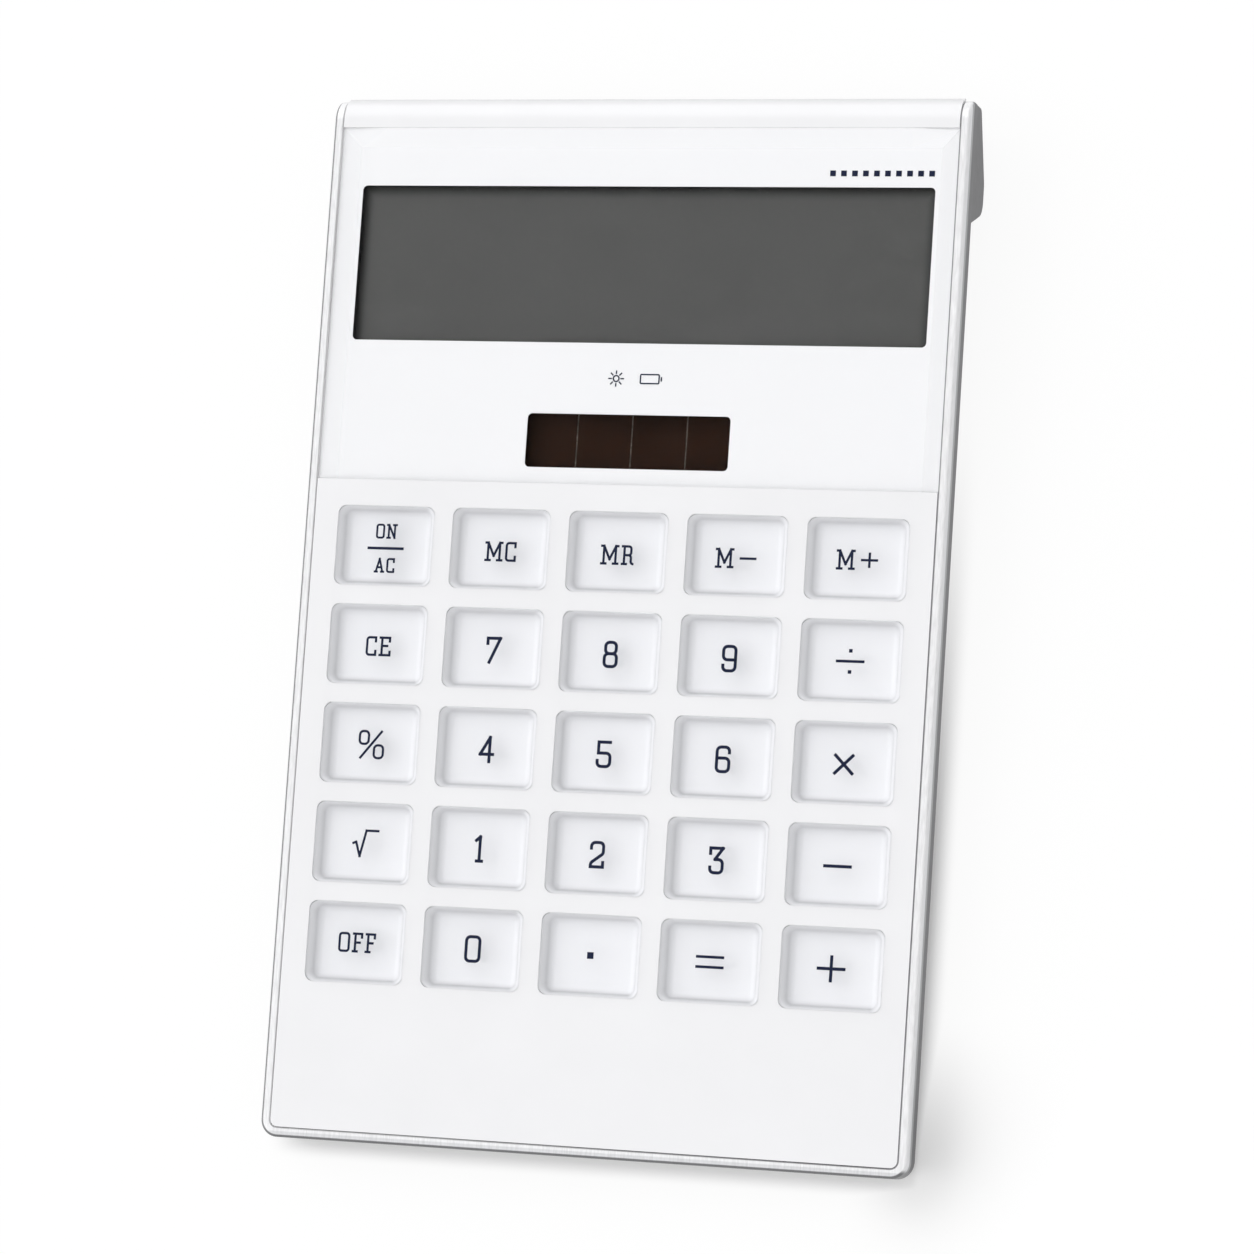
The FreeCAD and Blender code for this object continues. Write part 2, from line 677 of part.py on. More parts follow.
# Display
def make_display_lens():
    body = new_body("display_lens")
    outline = new_sketch(body, "outline", "face_height - lens_thickness")
    near_end = f"({LENS_NEAR} + seat_gap)"
    far_end = f"({LENS_FAR} - seat_gap)"
    add_rectangle(outline, f"-{PLATE_HALF}", PLATE_HALF, near_end, far_end)
    slab = pad(body, outline, "slab", "lens_thickness")
    sides = fillet(body, slab, "sides", "lens_side_round",
                   lambda spot, way: abs(way.y) > 0.99 and near(spot.z, "face_height"))
    ends = fillet(body, sides, "ends", "lens_end_round",
                  lambda spot, way: abs(way.x) > 0.99 and near(spot.z, "face_height"))
    body.Tip = ends
    return body


def make_window_mask():
    """White print under the clear panel with the display's and the solar cell's windows."""
    body = new_body("window_mask")
    outline = new_sketch(body, "outline", SHELF_TOP)
    half = f"({PLATE_HALF} - mask_margin)"
    add_rectangle(outline, f"-{half}", half, f"{LENS_NEAR} + mask_margin", f"{LENS_FAR} - mask_margin")
    add_rounded(outline, "0", "display_y", "display_width", "display_length", "window_corner")
    add_rounded(outline, "0", "solar_y", "solar_width", "solar_length", "window_corner")
    pad(body, outline, "sheet", "mask_thickness")
    return body


def make_display_gasket():
    """Black foam that lines the display's window between the film and the white print."""
    def draw(sketch):
        add_rounded(sketch, "0", "display_y", "display_width + 2 * window_step", "display_length + 2 * window_step",
                    "window_corner")
        add_rounded(sketch, "0", "display_y", "display_width", "display_length", "window_corner")
    return plate("display_gasket", SHELF_UNDER, "shelf_wall", draw)


def make_display_cell():
    """Two glasses of the liquid crystal cell with the polariser in front and the reflector behind."""
    half_film = "film_width / 2"
    half_glass = "glass_width / 2"
    near_film = "display_y - film_length / 2"
    far_film = "display_y + film_length / 2"
    near_glass = "display_y - glass_length / 2"
    far_glass = "display_y + glass_length / 2"
    stack = [
        ("lcd_front_polariser", GLASS_TOP, "film_thickness", half_film, near_film, far_film),
        ("lcd_front_glass", GLASS_JOINT, "glass_thickness", half_glass, near_glass, far_glass),
        ("lcd_rear_glass", GLASS_UNDER, "glass_thickness", half_glass, f"{near_glass} + glass_ledge", far_glass),
        ("lcd_reflector", REFLECTOR_UNDER, "film_thickness", half_film, f"{near_glass} + glass_ledge", far_film),
    ]
    layers = []
    for label, under, thickness, half, near_end, far_end in stack:
        layers.append(plate(label, under, thickness, lambda sketch, h=half, n=near_end, f=far_end:
                            add_rectangle(sketch, f"-({h})", h, n, f)))
    return layers


def make_lcd_holder():
    """Frame under the shelf that carries the liquid crystal cell on an inner lip."""
    body = new_body("lcd_holder")
    floor = f"({REFLECTOR_UNDER} - holder_floor)"
    width = "(glass_width + 2 * seat_gap)"
    length = "(glass_length + 2 * seat_gap)"
    outer = new_sketch(body, "outer", floor)
    add_rounded(outer, "0", "display_y", f"{width} + 2 * holder_wall", f"{length} + 2 * holder_wall", "holder_wall")
    pad(body, outer, "block", f"{SHELF_UNDER} - {floor}")
    seat = new_sketch(body, "seat", SHELF_UNDER)
    add_rectangle(seat, f"-{width} / 2", f"{width} / 2", f"display_y - {length} / 2", f"display_y + {length} / 2")
    pocket(body, seat, "seat", f"{SHELF_UNDER} - {REFLECTOR_UNDER}")
    middle = new_sketch(body, "middle", SHELF_UNDER)
    add_rounded(middle, "0", "display_y", f"{width} - 2 * holder_lip", f"{length} - 2 * holder_lip", "holder_wall")
    pocket(body, middle, "middle", f"{SHELF_UNDER} - {floor}")
    notch = new_sketch(body, "ribbon_notch", f"{GLASS_JOINT} + seat_gap")
    add_rectangle(notch, "-(ribbon_width / 2 + seat_gap)", "ribbon_width / 2 + seat_gap",
                  f"display_y - {length} / 2 - 2 * holder_wall", f"display_y - {length} / 2 + glass_ledge")
    pocket(body, notch, "ribbon_notch", f"{GLASS_JOINT} + seat_gap - {floor}")
    return body


def make_display_ribbon():
    """Flat ribbon from the ledge of the display's front glass down to the far edge of the board."""
    body = new_body("display_ribbon")
    sketch = new_sketch(body, "profile", plane="YZ_Plane")
    near_glass = "(display_y - glass_length / 2)"
    solar_far = "(solar_y + solar_length / 2 + solar_margin)"
    sag = f"(({STRIP_UNDER} + {BOARD_TOP}) / 2)"
    under = [
        (f"{near_glass} + glass_ledge - seat_gap", f"{GLASS_JOINT} - ribbon_thickness"),
        (f"{near_glass} - holder_wall", f"{GLASS_JOINT} - ribbon_thickness"),
        (solar_far, sag),
        (f"{BOARD_FAR} + ribbon_landing", sag),
        (BOARD_FAR, BOARD_TOP),
        (f"keys_y + {MAT_REACH} + seat_gap", BOARD_TOP),
    ]
    over = [(y, f"{z} + ribbon_thickness") for y, z in reversed(under)]
    add_polygon(sketch, under + over)
    pad(body, sketch, "ribbon", "ribbon_width", symmetric=True)
    return body


# Solar cell
def make_solar_cell():
    glass = plate("solar_glass", SOLAR_UNDER, "solar_thickness", lambda sketch: add_rectangle(
        sketch, "-(solar_width / 2 + solar_margin)", "solar_width / 2 + solar_margin",
        "solar_y - solar_length / 2 - solar_margin", "solar_y + solar_length / 2 + solar_margin"))
    strips = [box(f"solar_strip_{place}", f"({place - 2.5} * strip_pitch)", "solar_y", STRIP_UNDER,
                  "strip_width", "solar_length + solar_margin", "strip_thickness") for place in range(1, 5)]
    return [glass, group("solar_strips", strips)]


# Keys and their contacts
def make_key(label, x, y):
    """Clear key: a block with rounded edges that stands in its opening on a flange under the face."""
    body = new_body(label)
    flange = new_sketch(body, "flange")
    add_rounded(flange, "0", "0", "key_width + 2 * flange_width", "key_length + 2 * flange_width",
                "key_corner + flange_width")
    pad(body, flange, "flange", "flange_height")
    cap = new_sketch(body, "cap")
    add_rounded(cap, "0", "0", "key_width", "key_length", "key_corner")
    height = "flange_height + flange_gap + plate_wall + key_rise"
    block = pad(body, cap, "cap", height)
    body.Tip = fillet(body, block, "edges", "key_edge",
                      lambda spot, way: near(spot.z, height) and abs(way.z) < 0.01)
    body.Placement.Base = FreeCAD.Vector(number(x), number(y), number(KEY_BOTTOM))
    return body


def make_keypad_mat():
    """Rubber mat with a hollow dome under every key and holes for the board's bosses."""
    body = new_body("keypad_mat")
    half = f"({(KEY_COUNT - 1) / 2} * key_pitch_x + mat_margin + dome_base / 2)"
    base = new_sketch(body, "base", BOARD_TOP)
    add_rounded(base, "0", "keys_y", f"2 * {half}", f"2 * {MAT_REACH}", "dome_base / 2")
    pad(body, base, "base", "mat_thickness")
    x, y = first_key()
    dome = new_sketch(body, "dome", MAT_TOP)
    add_circle(dome, x, y, "dome_base")
    swell = pad(body, dome, "dome", "dome_height")
    swell.setExpression("TaperAngle", size("-atan((dome_base - dome_top) / dome_height)"))
    doc.recompute()
    repeat_over_keys(body, swell)
    hollow = new_sketch(body, "hollow", f"{KEY_BOTTOM} - dome_wall")
    add_circle(hollow, x, y, "dome_top - dome_wall")
    cavity = pocket(body, hollow, "hollow", f"{KEY_BOTTOM} - dome_wall - {BOARD_TOP}")
    repeat_over_keys(body, cavity)
    holes = new_sketch(body, "boss_holes", MAT_TOP)
    for x, y in boss_spots():
        add_circle(holes, x, y, "board_boss + screw_gap")
    pocket(body, holes, "boss_holes", "mat_thickness")
    return body


def make_contacts():
    """Carbon pills inside the domes and the contact pads that they meet on the board."""
    reach = f"({KEY_BOTTOM} - dome_wall - {BOARD_TOP} - contact_thickness - key_travel)"
    pills = []
    pads = []
    for name, x, y in key_spots():
        pills.append(cylinder(f"pill_{name}", x, y, f"{KEY_BOTTOM} - dome_wall - {reach}", "pill_radius", reach))
        pads.append(cylinder(f"pad_{name}", x, y, BOARD_TOP, "contact_radius", "contact_thickness"))
    return [group("carbon_pills", pills), group("board_contacts", pads)]


# Circuit board
def make_main_board():
    body = new_body("main_board")
    outline = new_sketch(body, "outline", BOARD_UNDER)
    add_rectangle(outline, f"-{BOARD_HALF}", BOARD_HALF, "board_near", BOARD_FAR)
    for x, y in boss_spots():
        add_circle(outline, x, y, "board_pilot + seat_gap")
    pad(body, outline, "sheet", "board_thickness")
    return body


def make_chip_cover():
    """Blob of resin over the chip on the underside of the board."""
    body = plate("chip_cover", f"{BOARD_UNDER} - chip_height", "chip_height",
                 lambda sketch: add_circle(sketch, "0", "chip_y", "chip_radius"))
    body.Tip = fillet(body, body.Tip, "round", "chip_height * 2 / 3",
                      lambda spot, way: near(spot.z, f"{BOARD_UNDER} - chip_height"))
    return body


def make_screw(name, x, y, head_under, head_height, tip, head, shank):
    """Pan-head screw standing on its head, with a cross recess in the head."""
    cap = cylinder(f"{name}_head", x, y, head_under, head, head_height)
    stem = cylinder(f"{name}_shank", x, y, head_under, shank, f"{tip} - {head_under}")
    blank = doc.addObject("Part::Fuse", f"{name}_blank")
    blank.Base = cap
    blank.Tool = stem
    depth = f"({head_height}) / 2"
    arms = doc.addObject("Part::Fuse", f"{name}_cross")
    arms.Base = box(f"{name}_cross_x", x, y, head_under, f"2 * cross_share * {head}", "cross_width", depth)
    arms.Tool = box(f"{name}_cross_y", x, y, head_under, "cross_width", f"2 * cross_share * {head}", depth)
    screw = doc.addObject("Part::Cut", name)
    screw.Base = blank
    screw.Tool = arms
    return screw


def make_screws():
    board = [make_screw(f"board_screw_{index}", x, y, f"{BOARD_UNDER} - board_head_height", "board_head_height",
                        PLATE_UNDER, "board_head", "board_shank")
             for index, (x, y) in enumerate(boss_spots(), 1)]
    case = [make_screw(f"case_screw_{index}", x, y, "(counterbore_depth - case_head_height)", "case_head_height",
                       f"({PILOT_TOP} - screw_gap)", "case_head", "case_shank")
            for index, (x, y) in enumerate(CASE_SCREWS, 1)]
    return [group("board_screws", board), group("case_screws", case)]


# Button cell
def make_cell():
    """Can, sealing gasket and cap of the button cell, nested in each other."""
    can = new_body("cell_can")
    rim = new_sketch(can, "rim", CELL_UNDER)
    add_circle(rim, f"-{CELL_X}", "cell_y", "cell_radius")
    pad(can, rim, "cup", "can_height")
    bore = new_sketch(can, "bore", f"{CELL_UNDER} + can_height")
    add_circle(bore, f"-{CELL_X}", "cell_y", "cell_radius - can_wall")
    pocket(can, bore, "bore", "can_height - can_wall")
    inner = "(cell_radius - can_wall - gasket_wall)"
    gasket = plate("cell_gasket", f"{CELL_UNDER} + can_wall", "can_height - can_wall", lambda sketch: (
        add_circle(sketch, f"-{CELL_X}", "cell_y", "cell_radius - can_wall"),
        add_circle(sketch, f"-{CELL_X}", "cell_y", inner)))
    cap = plate("cell_cap", f"{CELL_UNDER} + can_wall", "cell_height - can_wall",
                lambda sketch: add_circle(sketch, f"-{CELL_X}", "cell_y", inner))
    return [can, gasket, cap]


def make_contact_negative():
    """Sheet under the shelf with a bump that meets the cap of the cell."""
    body = new_body("contact_negative")
    leaf = new_sketch(body, "leaf", f"{SHELF_UNDER} - contact_sheet")
    add_rectangle(leaf, f"-({CELL_X} + cell_radius + contact_reach / 2)", f"-{CELL_X} + bump_radius",
                  "cell_y - contact_width / 2", "cell_y + contact_width / 2")
    pad(body, leaf, "leaf", "contact_sheet")
    bump = new_sketch(body, "bump", f"{CELL_UNDER} + cell_height + contact_touch")
    add_circle(bump, f"-{CELL_X}", "cell_y", "bump_radius")
    pad(body, bump, "bump", f"{SHELF_UNDER} - {CELL_UNDER} - cell_height - contact_touch")
    return body


def make_contact_positive():
    """Angle sheet: a foot under the shelf and a leaf beside the can of the cell."""
    body = new_body("contact_positive")
    start = f"(cell_radius + contact_touch - {CELL_X})"
    foot = new_sketch(body, "foot", f"{SHELF_UNDER} - contact_sheet")
    add_rectangle(foot, start, f"{start} + contact_reach", "cell_y - contact_width / 2", "cell_y + contact_width / 2")
    pad(body, foot, "foot", "contact_sheet")
    leaf = new_sketch(body, "leaf", f"{CELL_UNDER} + can_wall")
    add_rectangle(leaf, start, f"{start} + contact_sheet", "cell_y - contact_width / 2", "cell_y + contact_width / 2")
    pad(body, leaf, "leaf", f"{SHELF_UNDER} - {CELL_UNDER} - can_wall")
    return body


# Wires
def rounded_path(points):
    """Straight runs through the points, joined by tangent arcs at the inner ones."""
    edges = []
    start = points[0]
    for before, corner, after in zip(points, points[1:], points[2:]):
        back = (before - corner).normalize()
        ahead = (after - corner).normalize()
        shorter = min((before - corner).Length, (after - corner).Length)
        cut = 0.45 * shorter
        half_turn = back.getAngle(ahead) / 2
        radius = cut * math.tan(half_turn)
        middle_way = (back + ahead).normalize()
        middle = corner + middle_way * (radius / math.sin(half_turn) - radius)
        enter = corner + back * cut
        leave = corner + ahead * cut
        edges.append(Part.LineSegment(start, enter).toShape())
        edges.append(Part.Arc(enter, middle, leave).toShape())
        start = leave
    edges.append(Part.LineSegment(start, points[-1]).toShape())
    return Part.Wire(edges)


def make_wire(label, spots):
    """Insulated wire along points given as formulas."""
    points = [FreeCAD.Vector(number(x), number(y), number(z)) for x, y, z in spots]
    path = rounded_path(points)
    circle = Part.Circle(points[0], points[1] - points[0], number("wire_radius"))
    shape = path.makePipeShell([Part.Wire(circle.toShape())], True, False)
    ideal = path.Length * math.pi * number("wire_radius") ** 2
    if abs(shape.Volume - ideal) > 0.02 * ideal:
        raise RuntimeError(f"{label} is not an even tube")
    wire = doc.addObject("Part::Feature", label)
    wire.Label = label
    wire.Shape = shape
    return wire


def make_wires():
    """Leads of the cell and of the solar cell to the far edge of the board."""
    landing = f"({BOARD_FAR} - wire_radius)"
    lying = f"({BOARD_TOP} + wire_radius)"
    foot = f"({SHELF_UNDER} - contact_sheet - wire_radius)"
    under_solar = f"({STRIP_UNDER} - wire_radius)"
    foot_x = f"(cell_radius + contact_reach - 2 * wire_radius - {CELL_X})"
    leaf_x = f"-({CELL_X} + cell_radius + contact_reach / 2 - 2 * wire_radius)"
    inner_x = f"-({CASE_SCREW_X} - case_boss - 3 * wire_radius)"
    solar_x = "(1.5 * strip_pitch + strip_width / 4)"
    side_x = "(solar_width / 2 + solar_margin + 2.5 * wire_radius)"
    wires = [
        make_wire("battery_wire_red", [
            (foot_x, "cell_y", foot),
            (foot_x, "cell_y - wire_lead", foot),
            (f"{foot_x} + wire_spread", f"{landing} + 2 * wire_landing", f"({foot} + {lying}) / 2"),
            (f"{foot_x} + wire_spread", f"{landing} + wire_landing", lying),
            (f"{foot_x} + wire_spread", landing, lying),
        ]),
        make_wire("battery_wire_black", [
            (leaf_x, "cell_y", foot),
            (leaf_x, "cell_y - wire_lead", foot),
            (inner_x, f"{CASE_SCREW_FAR} + case_boss", foot),
            (inner_x, f"{landing} + wire_landing", lying),
            (inner_x, landing, lying),
        ]),
    ]
    for label, side in (("solar_wire_red", "-"), ("solar_wire_black", "")):
        wires.append(make_wire(label, [
            (f"{side}{solar_x}", "solar_y", under_solar),
            (f"{side}({solar_x} + wire_lead / 2)", "solar_y - wire_spread", under_solar),
            (f"{side}{side_x}", "solar_y - wire_lead", under_solar),
            (f"{side}{side_x}", f"{landing} + wire_landing", lying),
            (f"{side}{side_x}", landing, lying),
        ]))
    return wires


# Feet
def desk_slope():
    """Angle between the back of the case and the desk, in degrees."""
    rise = "hump_drop + rear_foot_height - foot_height"
    run = f"{REAR_FOOT_Y} - foot_y"
    return math.degrees(math.atan2(number(rise), number(run)))


def make_feet():
    """Two rubber discs under the near end and two rubber strips on the hump, all cut level with the desk."""
    desk = doc.addObject("Part::Box", "desk_level")
    desk.setExpression("Length", size("2 * case_width"))
    desk.setExpression("Width", size("2 * case_length"))
    desk.setExpression("Height", size("2 * hump_drop"))
    turn = FreeCAD.Rotation(FreeCAD.Vector(1, 0, 0), -desk_slope())
    touch = FreeCAD.Vector(0, number("foot_y"), -number("foot_height"))
    corner = FreeCAD.Vector(-number("case_width"), -number("case_length"), -2 * number("hump_drop"))
    desk.Placement = FreeCAD.Placement(touch, turn).multiply(FreeCAD.Placement(corner, FreeCAD.Rotation()))

    front = []
    rear = []
    for side in ("-", ""):
        name = "left" if side else "right"
        disc = cylinder(f"front_disc_{name}", f"{side}{FOOT_X}", "foot_y", "-2 * foot_height", "foot_radius",
                        "2 * foot_height + foot_seat")
        strip = new_body(f"rear_strip_{name}")
        outline = new_sketch(strip, "outline", "-hump_drop - 2 * rear_foot_height")
        add_rounded(outline, f"{side}{REAR_FOOT_X}", REAR_FOOT_Y, "rear_foot_width", "rear_foot_length",
                    "rear_foot_length / 3")
        pad(strip, outline, "strip", "2 * rear_foot_height + foot_seat")
        for blank, level in ((disc, front), (strip, rear)):
            foot = doc.addObject("Part::Cut", f"{blank.Name}_cut")
            foot.Base = blank
            foot.Tool = desk
            level.append(foot)
    return [group("front_feet", front), group("rear_feet", rear)]


# Assembly
pieces = [make_front_cover(), make_side_frame(), make_rear_cover(), make_battery_door()]
pieces += [make_display_lens(), make_window_mask(), make_display_gasket(), *make_display_cell()]
pieces += [make_lcd_holder(), make_display_ribbon()]
pieces += make_solar_cell()
pieces += [make_key(*spot) for spot in key_spots()]
pieces += [make_keypad_mat(), *make_contacts(), make_main_board(), make_chip_cover(), *make_screws()]
pieces += [*make_cell(), make_contact_positive(), make_contact_negative(), *make_wires(), *make_feet()]
doc.recompute()

failed = [item.Name for item in doc.Objects if {"Invalid", "Error"} & set(item.State)]
if failed:
    raise RuntimeError(f"failed features: {failed}")
for piece in pieces:
    if piece.Shape.isNull() or not piece.Shape.isValid() or not piece.Shape.Solids:
        raise RuntimeError(f"{piece.Label} has no valid solid")

# The case is turned onto its feet, and the origin is put on the desk under the middle of its box.
tilt = FreeCAD.Placement(FreeCAD.Vector(), FreeCAD.Rotation(FreeCAD.Vector(1, 0, 0), desk_slope()))
whole = FreeCAD.BoundBox()
for piece in pieces:
    piece.Placement = tilt.multiply(piece.Placement)
    whole.add(piece.Shape.optimalBoundingBox(False, False))
middle = FreeCAD.Vector(whole.Center.x, whole.Center.y, whole.ZMin)
os.makedirs("parts", exist_ok=True)
for piece in pieces:
    piece.Placement.Base -= middle
    piece.Shape.exportStep(f"parts/{piece.Label}.step")
print(f"{len(pieces)} nodes, tilt {desk_slope():.3f} degrees, origin at {middle} of the tilted case")
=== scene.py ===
import json
import math
import bmesh
import bpy
from mathutils import Matrix, Vector

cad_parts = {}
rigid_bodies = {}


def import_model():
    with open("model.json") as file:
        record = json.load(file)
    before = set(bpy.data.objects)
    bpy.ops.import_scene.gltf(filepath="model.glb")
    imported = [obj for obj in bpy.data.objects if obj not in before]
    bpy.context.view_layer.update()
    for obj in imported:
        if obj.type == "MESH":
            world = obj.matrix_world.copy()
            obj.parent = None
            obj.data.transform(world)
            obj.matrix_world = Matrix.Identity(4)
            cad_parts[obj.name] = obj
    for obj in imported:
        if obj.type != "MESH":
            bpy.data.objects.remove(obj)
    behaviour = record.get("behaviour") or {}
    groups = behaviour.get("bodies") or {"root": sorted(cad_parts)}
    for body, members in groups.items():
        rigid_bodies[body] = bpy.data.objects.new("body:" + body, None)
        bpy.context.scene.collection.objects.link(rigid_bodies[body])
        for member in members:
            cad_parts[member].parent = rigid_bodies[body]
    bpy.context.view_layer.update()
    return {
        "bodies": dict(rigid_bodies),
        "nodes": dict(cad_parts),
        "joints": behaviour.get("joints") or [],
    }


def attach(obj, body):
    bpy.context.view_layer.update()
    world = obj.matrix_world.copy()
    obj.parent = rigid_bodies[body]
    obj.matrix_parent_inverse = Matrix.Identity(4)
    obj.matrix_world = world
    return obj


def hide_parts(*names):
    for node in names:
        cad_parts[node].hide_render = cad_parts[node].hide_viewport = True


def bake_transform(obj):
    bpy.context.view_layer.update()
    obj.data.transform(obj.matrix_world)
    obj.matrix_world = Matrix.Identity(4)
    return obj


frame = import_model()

bl_info = {
    "name": "Desk Calculator Looks",
    "version": (1, 0, 0),
    "blender": (4, 5, 0),
    "location": "View3D > Sidebar > Calculator",
    "description": "Visible pieces, finishes and studio for a slim desk calculator with clear keys",
    "category": "Object",
}

MM = 0.001

# The case lies tilted on its feet. Pieces are made in the case's own directions (X right, Y towards the
# display, Z out of the face) and turned into place with TURN.
PRESS = next(joint["axis"] for joint in frame["joints"] if joint["name"] == "key_5_press")
TILT = math.atan2(PRESS[1], -PRESS[2])
TURN = Matrix.Rotation(TILT, 4, "X")
KEYS = sorted(body for body in frame["bodies"] if body.startswith("key_"))


def case_box(node):
    """Lowest and highest corner of a CAD node in the case's own directions."""
    back = TURN.inverted()
    spots = [back @ vertex.co for vertex in frame["nodes"][node].data.vertices]
    low = Vector([min(spot[axis] for spot in spots) for axis in range(3)])
    high = Vector([max(spot[axis] for spot in spots) for axis in range(3)])
    return low, high


def screen(red, green, blue):
    """A colour given as it shows on a screen, in steps of 255, as the linear values that shaders take."""
    def linear(step):
        value = step / 255
        return value / 12.92 if value <= 0.04045 else ((value + 0.055) / 1.055) ** 2.4
    return (linear(red), linear(green), linear(blue))


# Middle of the "5" key on the plane of the face, from which the camera and the prints are placed.
KEY_RISE = 0.4 * MM
five_low, five_high = case_box("key_5")
FACE = Vector(((five_low.x + five_high.x) / 2, (five_low.y + five_high.y) / 2, five_high.z - KEY_RISE))


# How far a print or a strip is raised into the clear piece that lies on it.
PRINT_LIFT = 0.02 * MM


def length_prop(name, description, millimetres):
    return bpy.props.FloatProperty(name=name, description=description, default=millimetres * MM,
                                   unit="LENGTH", precision=5)


def share_prop(name, description, value):
    return bpy.props.FloatProperty(name=name, description=description, default=value, min=0, max=1,
                                   subtype="FACTOR")


def number_prop(name, description, value):
    return bpy.props.FloatProperty(name=name, description=description, default=value)


def colour_prop(name, description, value):
    return bpy.props.FloatVectorProperty(name=name, description=description, default=value, subtype="COLOR",
                                         size=3, min=0, max=1)


def place_prop(name, description, right, far):
    return bpy.props.FloatVectorProperty(name=name, description=description, default=(right * MM, far * MM), size=2,
                                         subtype="XYZ", unit="LENGTH", precision=5)


class CalculatorCase(bpy.types.PropertyGroup):
    white: colour_prop("White", "Colour of the moulded face", (0.835, 0.835, 0.85))
    # The frame's colours are lit and shaded tones of one silver paint, picked by the way each surface faces: painted
    # light where it looks up, a painted highlight below the lip on the right, painted shade down the sides, darkest at
    # their lower edge, and on the near lip, a painted dark reflection on the left, a painted gap shadow along the inner
    # edge and painted light on the walls that look inwards.
    lip: colour_prop("Lip", "Colour of the frame where it looks up", (0.865, 0.866, 0.878))
    bevel: colour_prop("Bevel", "Colour of the frame's right side next to the lip", (0.77, 0.775, 0.79))
    bevel_depth: length_prop("Bevel depth", "From the lip down to where the right side turns darker", 1.3)
    rail: colour_prop("Rail", "Colour of the frame's sides below the lip", (0.38, 0.384, 0.394))
    left: colour_prop("Left edge", "Colour of the frame's left side and of its left and near upper edges",
                      (0.2, 0.202, 0.208))
    edge_band: length_prop("Edge band", "Width of the darker line along the left and near upper edges", 0.42)
    near: colour_prop("Near end", "Colour of the frame's near end", (0.7, 0.705, 0.72))
    near_band: length_prop("Near band", "From the face to where the near end turns silver", 0.6)
    shade: colour_prop("Shade", "Colour of the frame's sides at their lower edge", (0.125, 0.125, 0.132))
    # Painted gap shadow along the frame's inner edge, lighter on the left where the light comes from.
    groove: colour_prop("Groove", "Colour of the line along the frame's inner edge on the right", (0.24, 0.24, 0.25))
    left_groove: colour_prop("Left groove", "Colour of the line along the frame's inner edge on the left",
                             (0.46, 0.46, 0.47))
    groove_width: length_prop("Groove width", "Width of the grey line along the frame's inner edge", 0.2)
    # Painted light on the frame's walls that look inwards.
    inner: colour_prop("Inner wall", "Colour of the frame's walls that look inwards", (0.85, 0.85, 0.86))
    back: colour_prop("Back", "Colour of the painted back and its door", (0.115, 0.115, 0.121))
    foot: colour_prop("Feet", "Colour of the rubber feet", (0.05, 0.05, 0.052))
    face_corner: length_prop("Face corner", "Radius of the face's near corners", 1.2)
    # Painted shade on the face where it turns down at its far end.
    far_shade: share_prop("Far shade", "Share of the face's colour left where it turns down at its far end", 0.72)
    smooth_angle: bpy.props.FloatProperty(name="Smooth angle", description="Edges flatter than this are shaded smooth",
                                          default=math.radians(32), subtype="ANGLE")


class CalculatorKeys(bpy.types.PropertyGroup):
    width: length_prop("Width", "Width of the clear block", 16.9)
    length: length_prop("Length", "Length of the clear block", 13.2)
    corner: length_prop("Corner", "Radius of the block's upright corners", 1.2)
    edge: length_prop("Edge", "Rounding of the block's top edge", 0.14)
    height: length_prop("Height", "From the flange's underside to the top face", 3.4)
    flange: length_prop("Flange", "How far the flange stands out under the face", 0.52)
    flange_height: length_prop("Flange height", "Height of the flange", 0.9)
    slope_x: length_prop("Side slope", "How far the tray's floor stands in from its left and right rims", 1.3)
    slope_y: length_prop("End slope", "How far the tray's floor stands in from its near and far rims", 0.8)
    rim: length_prop("Rim", "From the block's wall to the white tray's rim", 0.04)
    rim_drop: length_prop("Rim drop", "From the top face down to the tray's rim", 0.5)
    bend: length_prop("Bend", "Rounding between the tray's walls and its floor", 0.8)
    white: colour_prop("Tray", "Colour of the white tray inside the clear block", (0.835, 0.838, 0.86))
    # Lean and wall paint light and shade onto the tray: the walls keep a share of its colour as painted shade, the far
    # wall gets painted light.
    lean: number_prop("Lean", "How much whiter the tray's far wall is than its side walls", 0.14)
    wall: share_prop("Wall", "Share of the tray's colour that its walls keep", 0.74)
    tray_gap: length_prop("Tray gap", "From the flange up to the tray", 0.12)
    tray_wall: length_prop("Tray wall", "Thickness of the tray", 0.1)
    clear: colour_prop("Clear", "Tint of the clear block", (0.985, 0.988, 0.995))


class CalculatorMat(bpy.types.PropertyGroup):
    thickness: length_prop("Thickness", "Thickness of the rubber sheet under the keys", 0.6)
    base: length_prop("Dome base", "Radius of a dome where it stands on the sheet", 4.0)
    top: length_prop("Dome top", "Radius of a dome under its key", 2.6)
    height: length_prop("Dome height", "Height of a dome above the sheet", 1.19)
    wall: length_prop("Dome wall", "Thickness of a dome's wall", 0.45)
    hole: length_prop("Hole", "Radius of the holes under the domes and around the case's posts", 3.5)
    pill: length_prop("Pill", "Radius of the carbon pill inside a dome", 1.7)
    pill_gap: length_prop("Pill gap", "From a pill to its contact when the key is down", 0.02)
    rubber: colour_prop("Rubber", "Colour of the mat", (0.6, 0.6, 0.62))


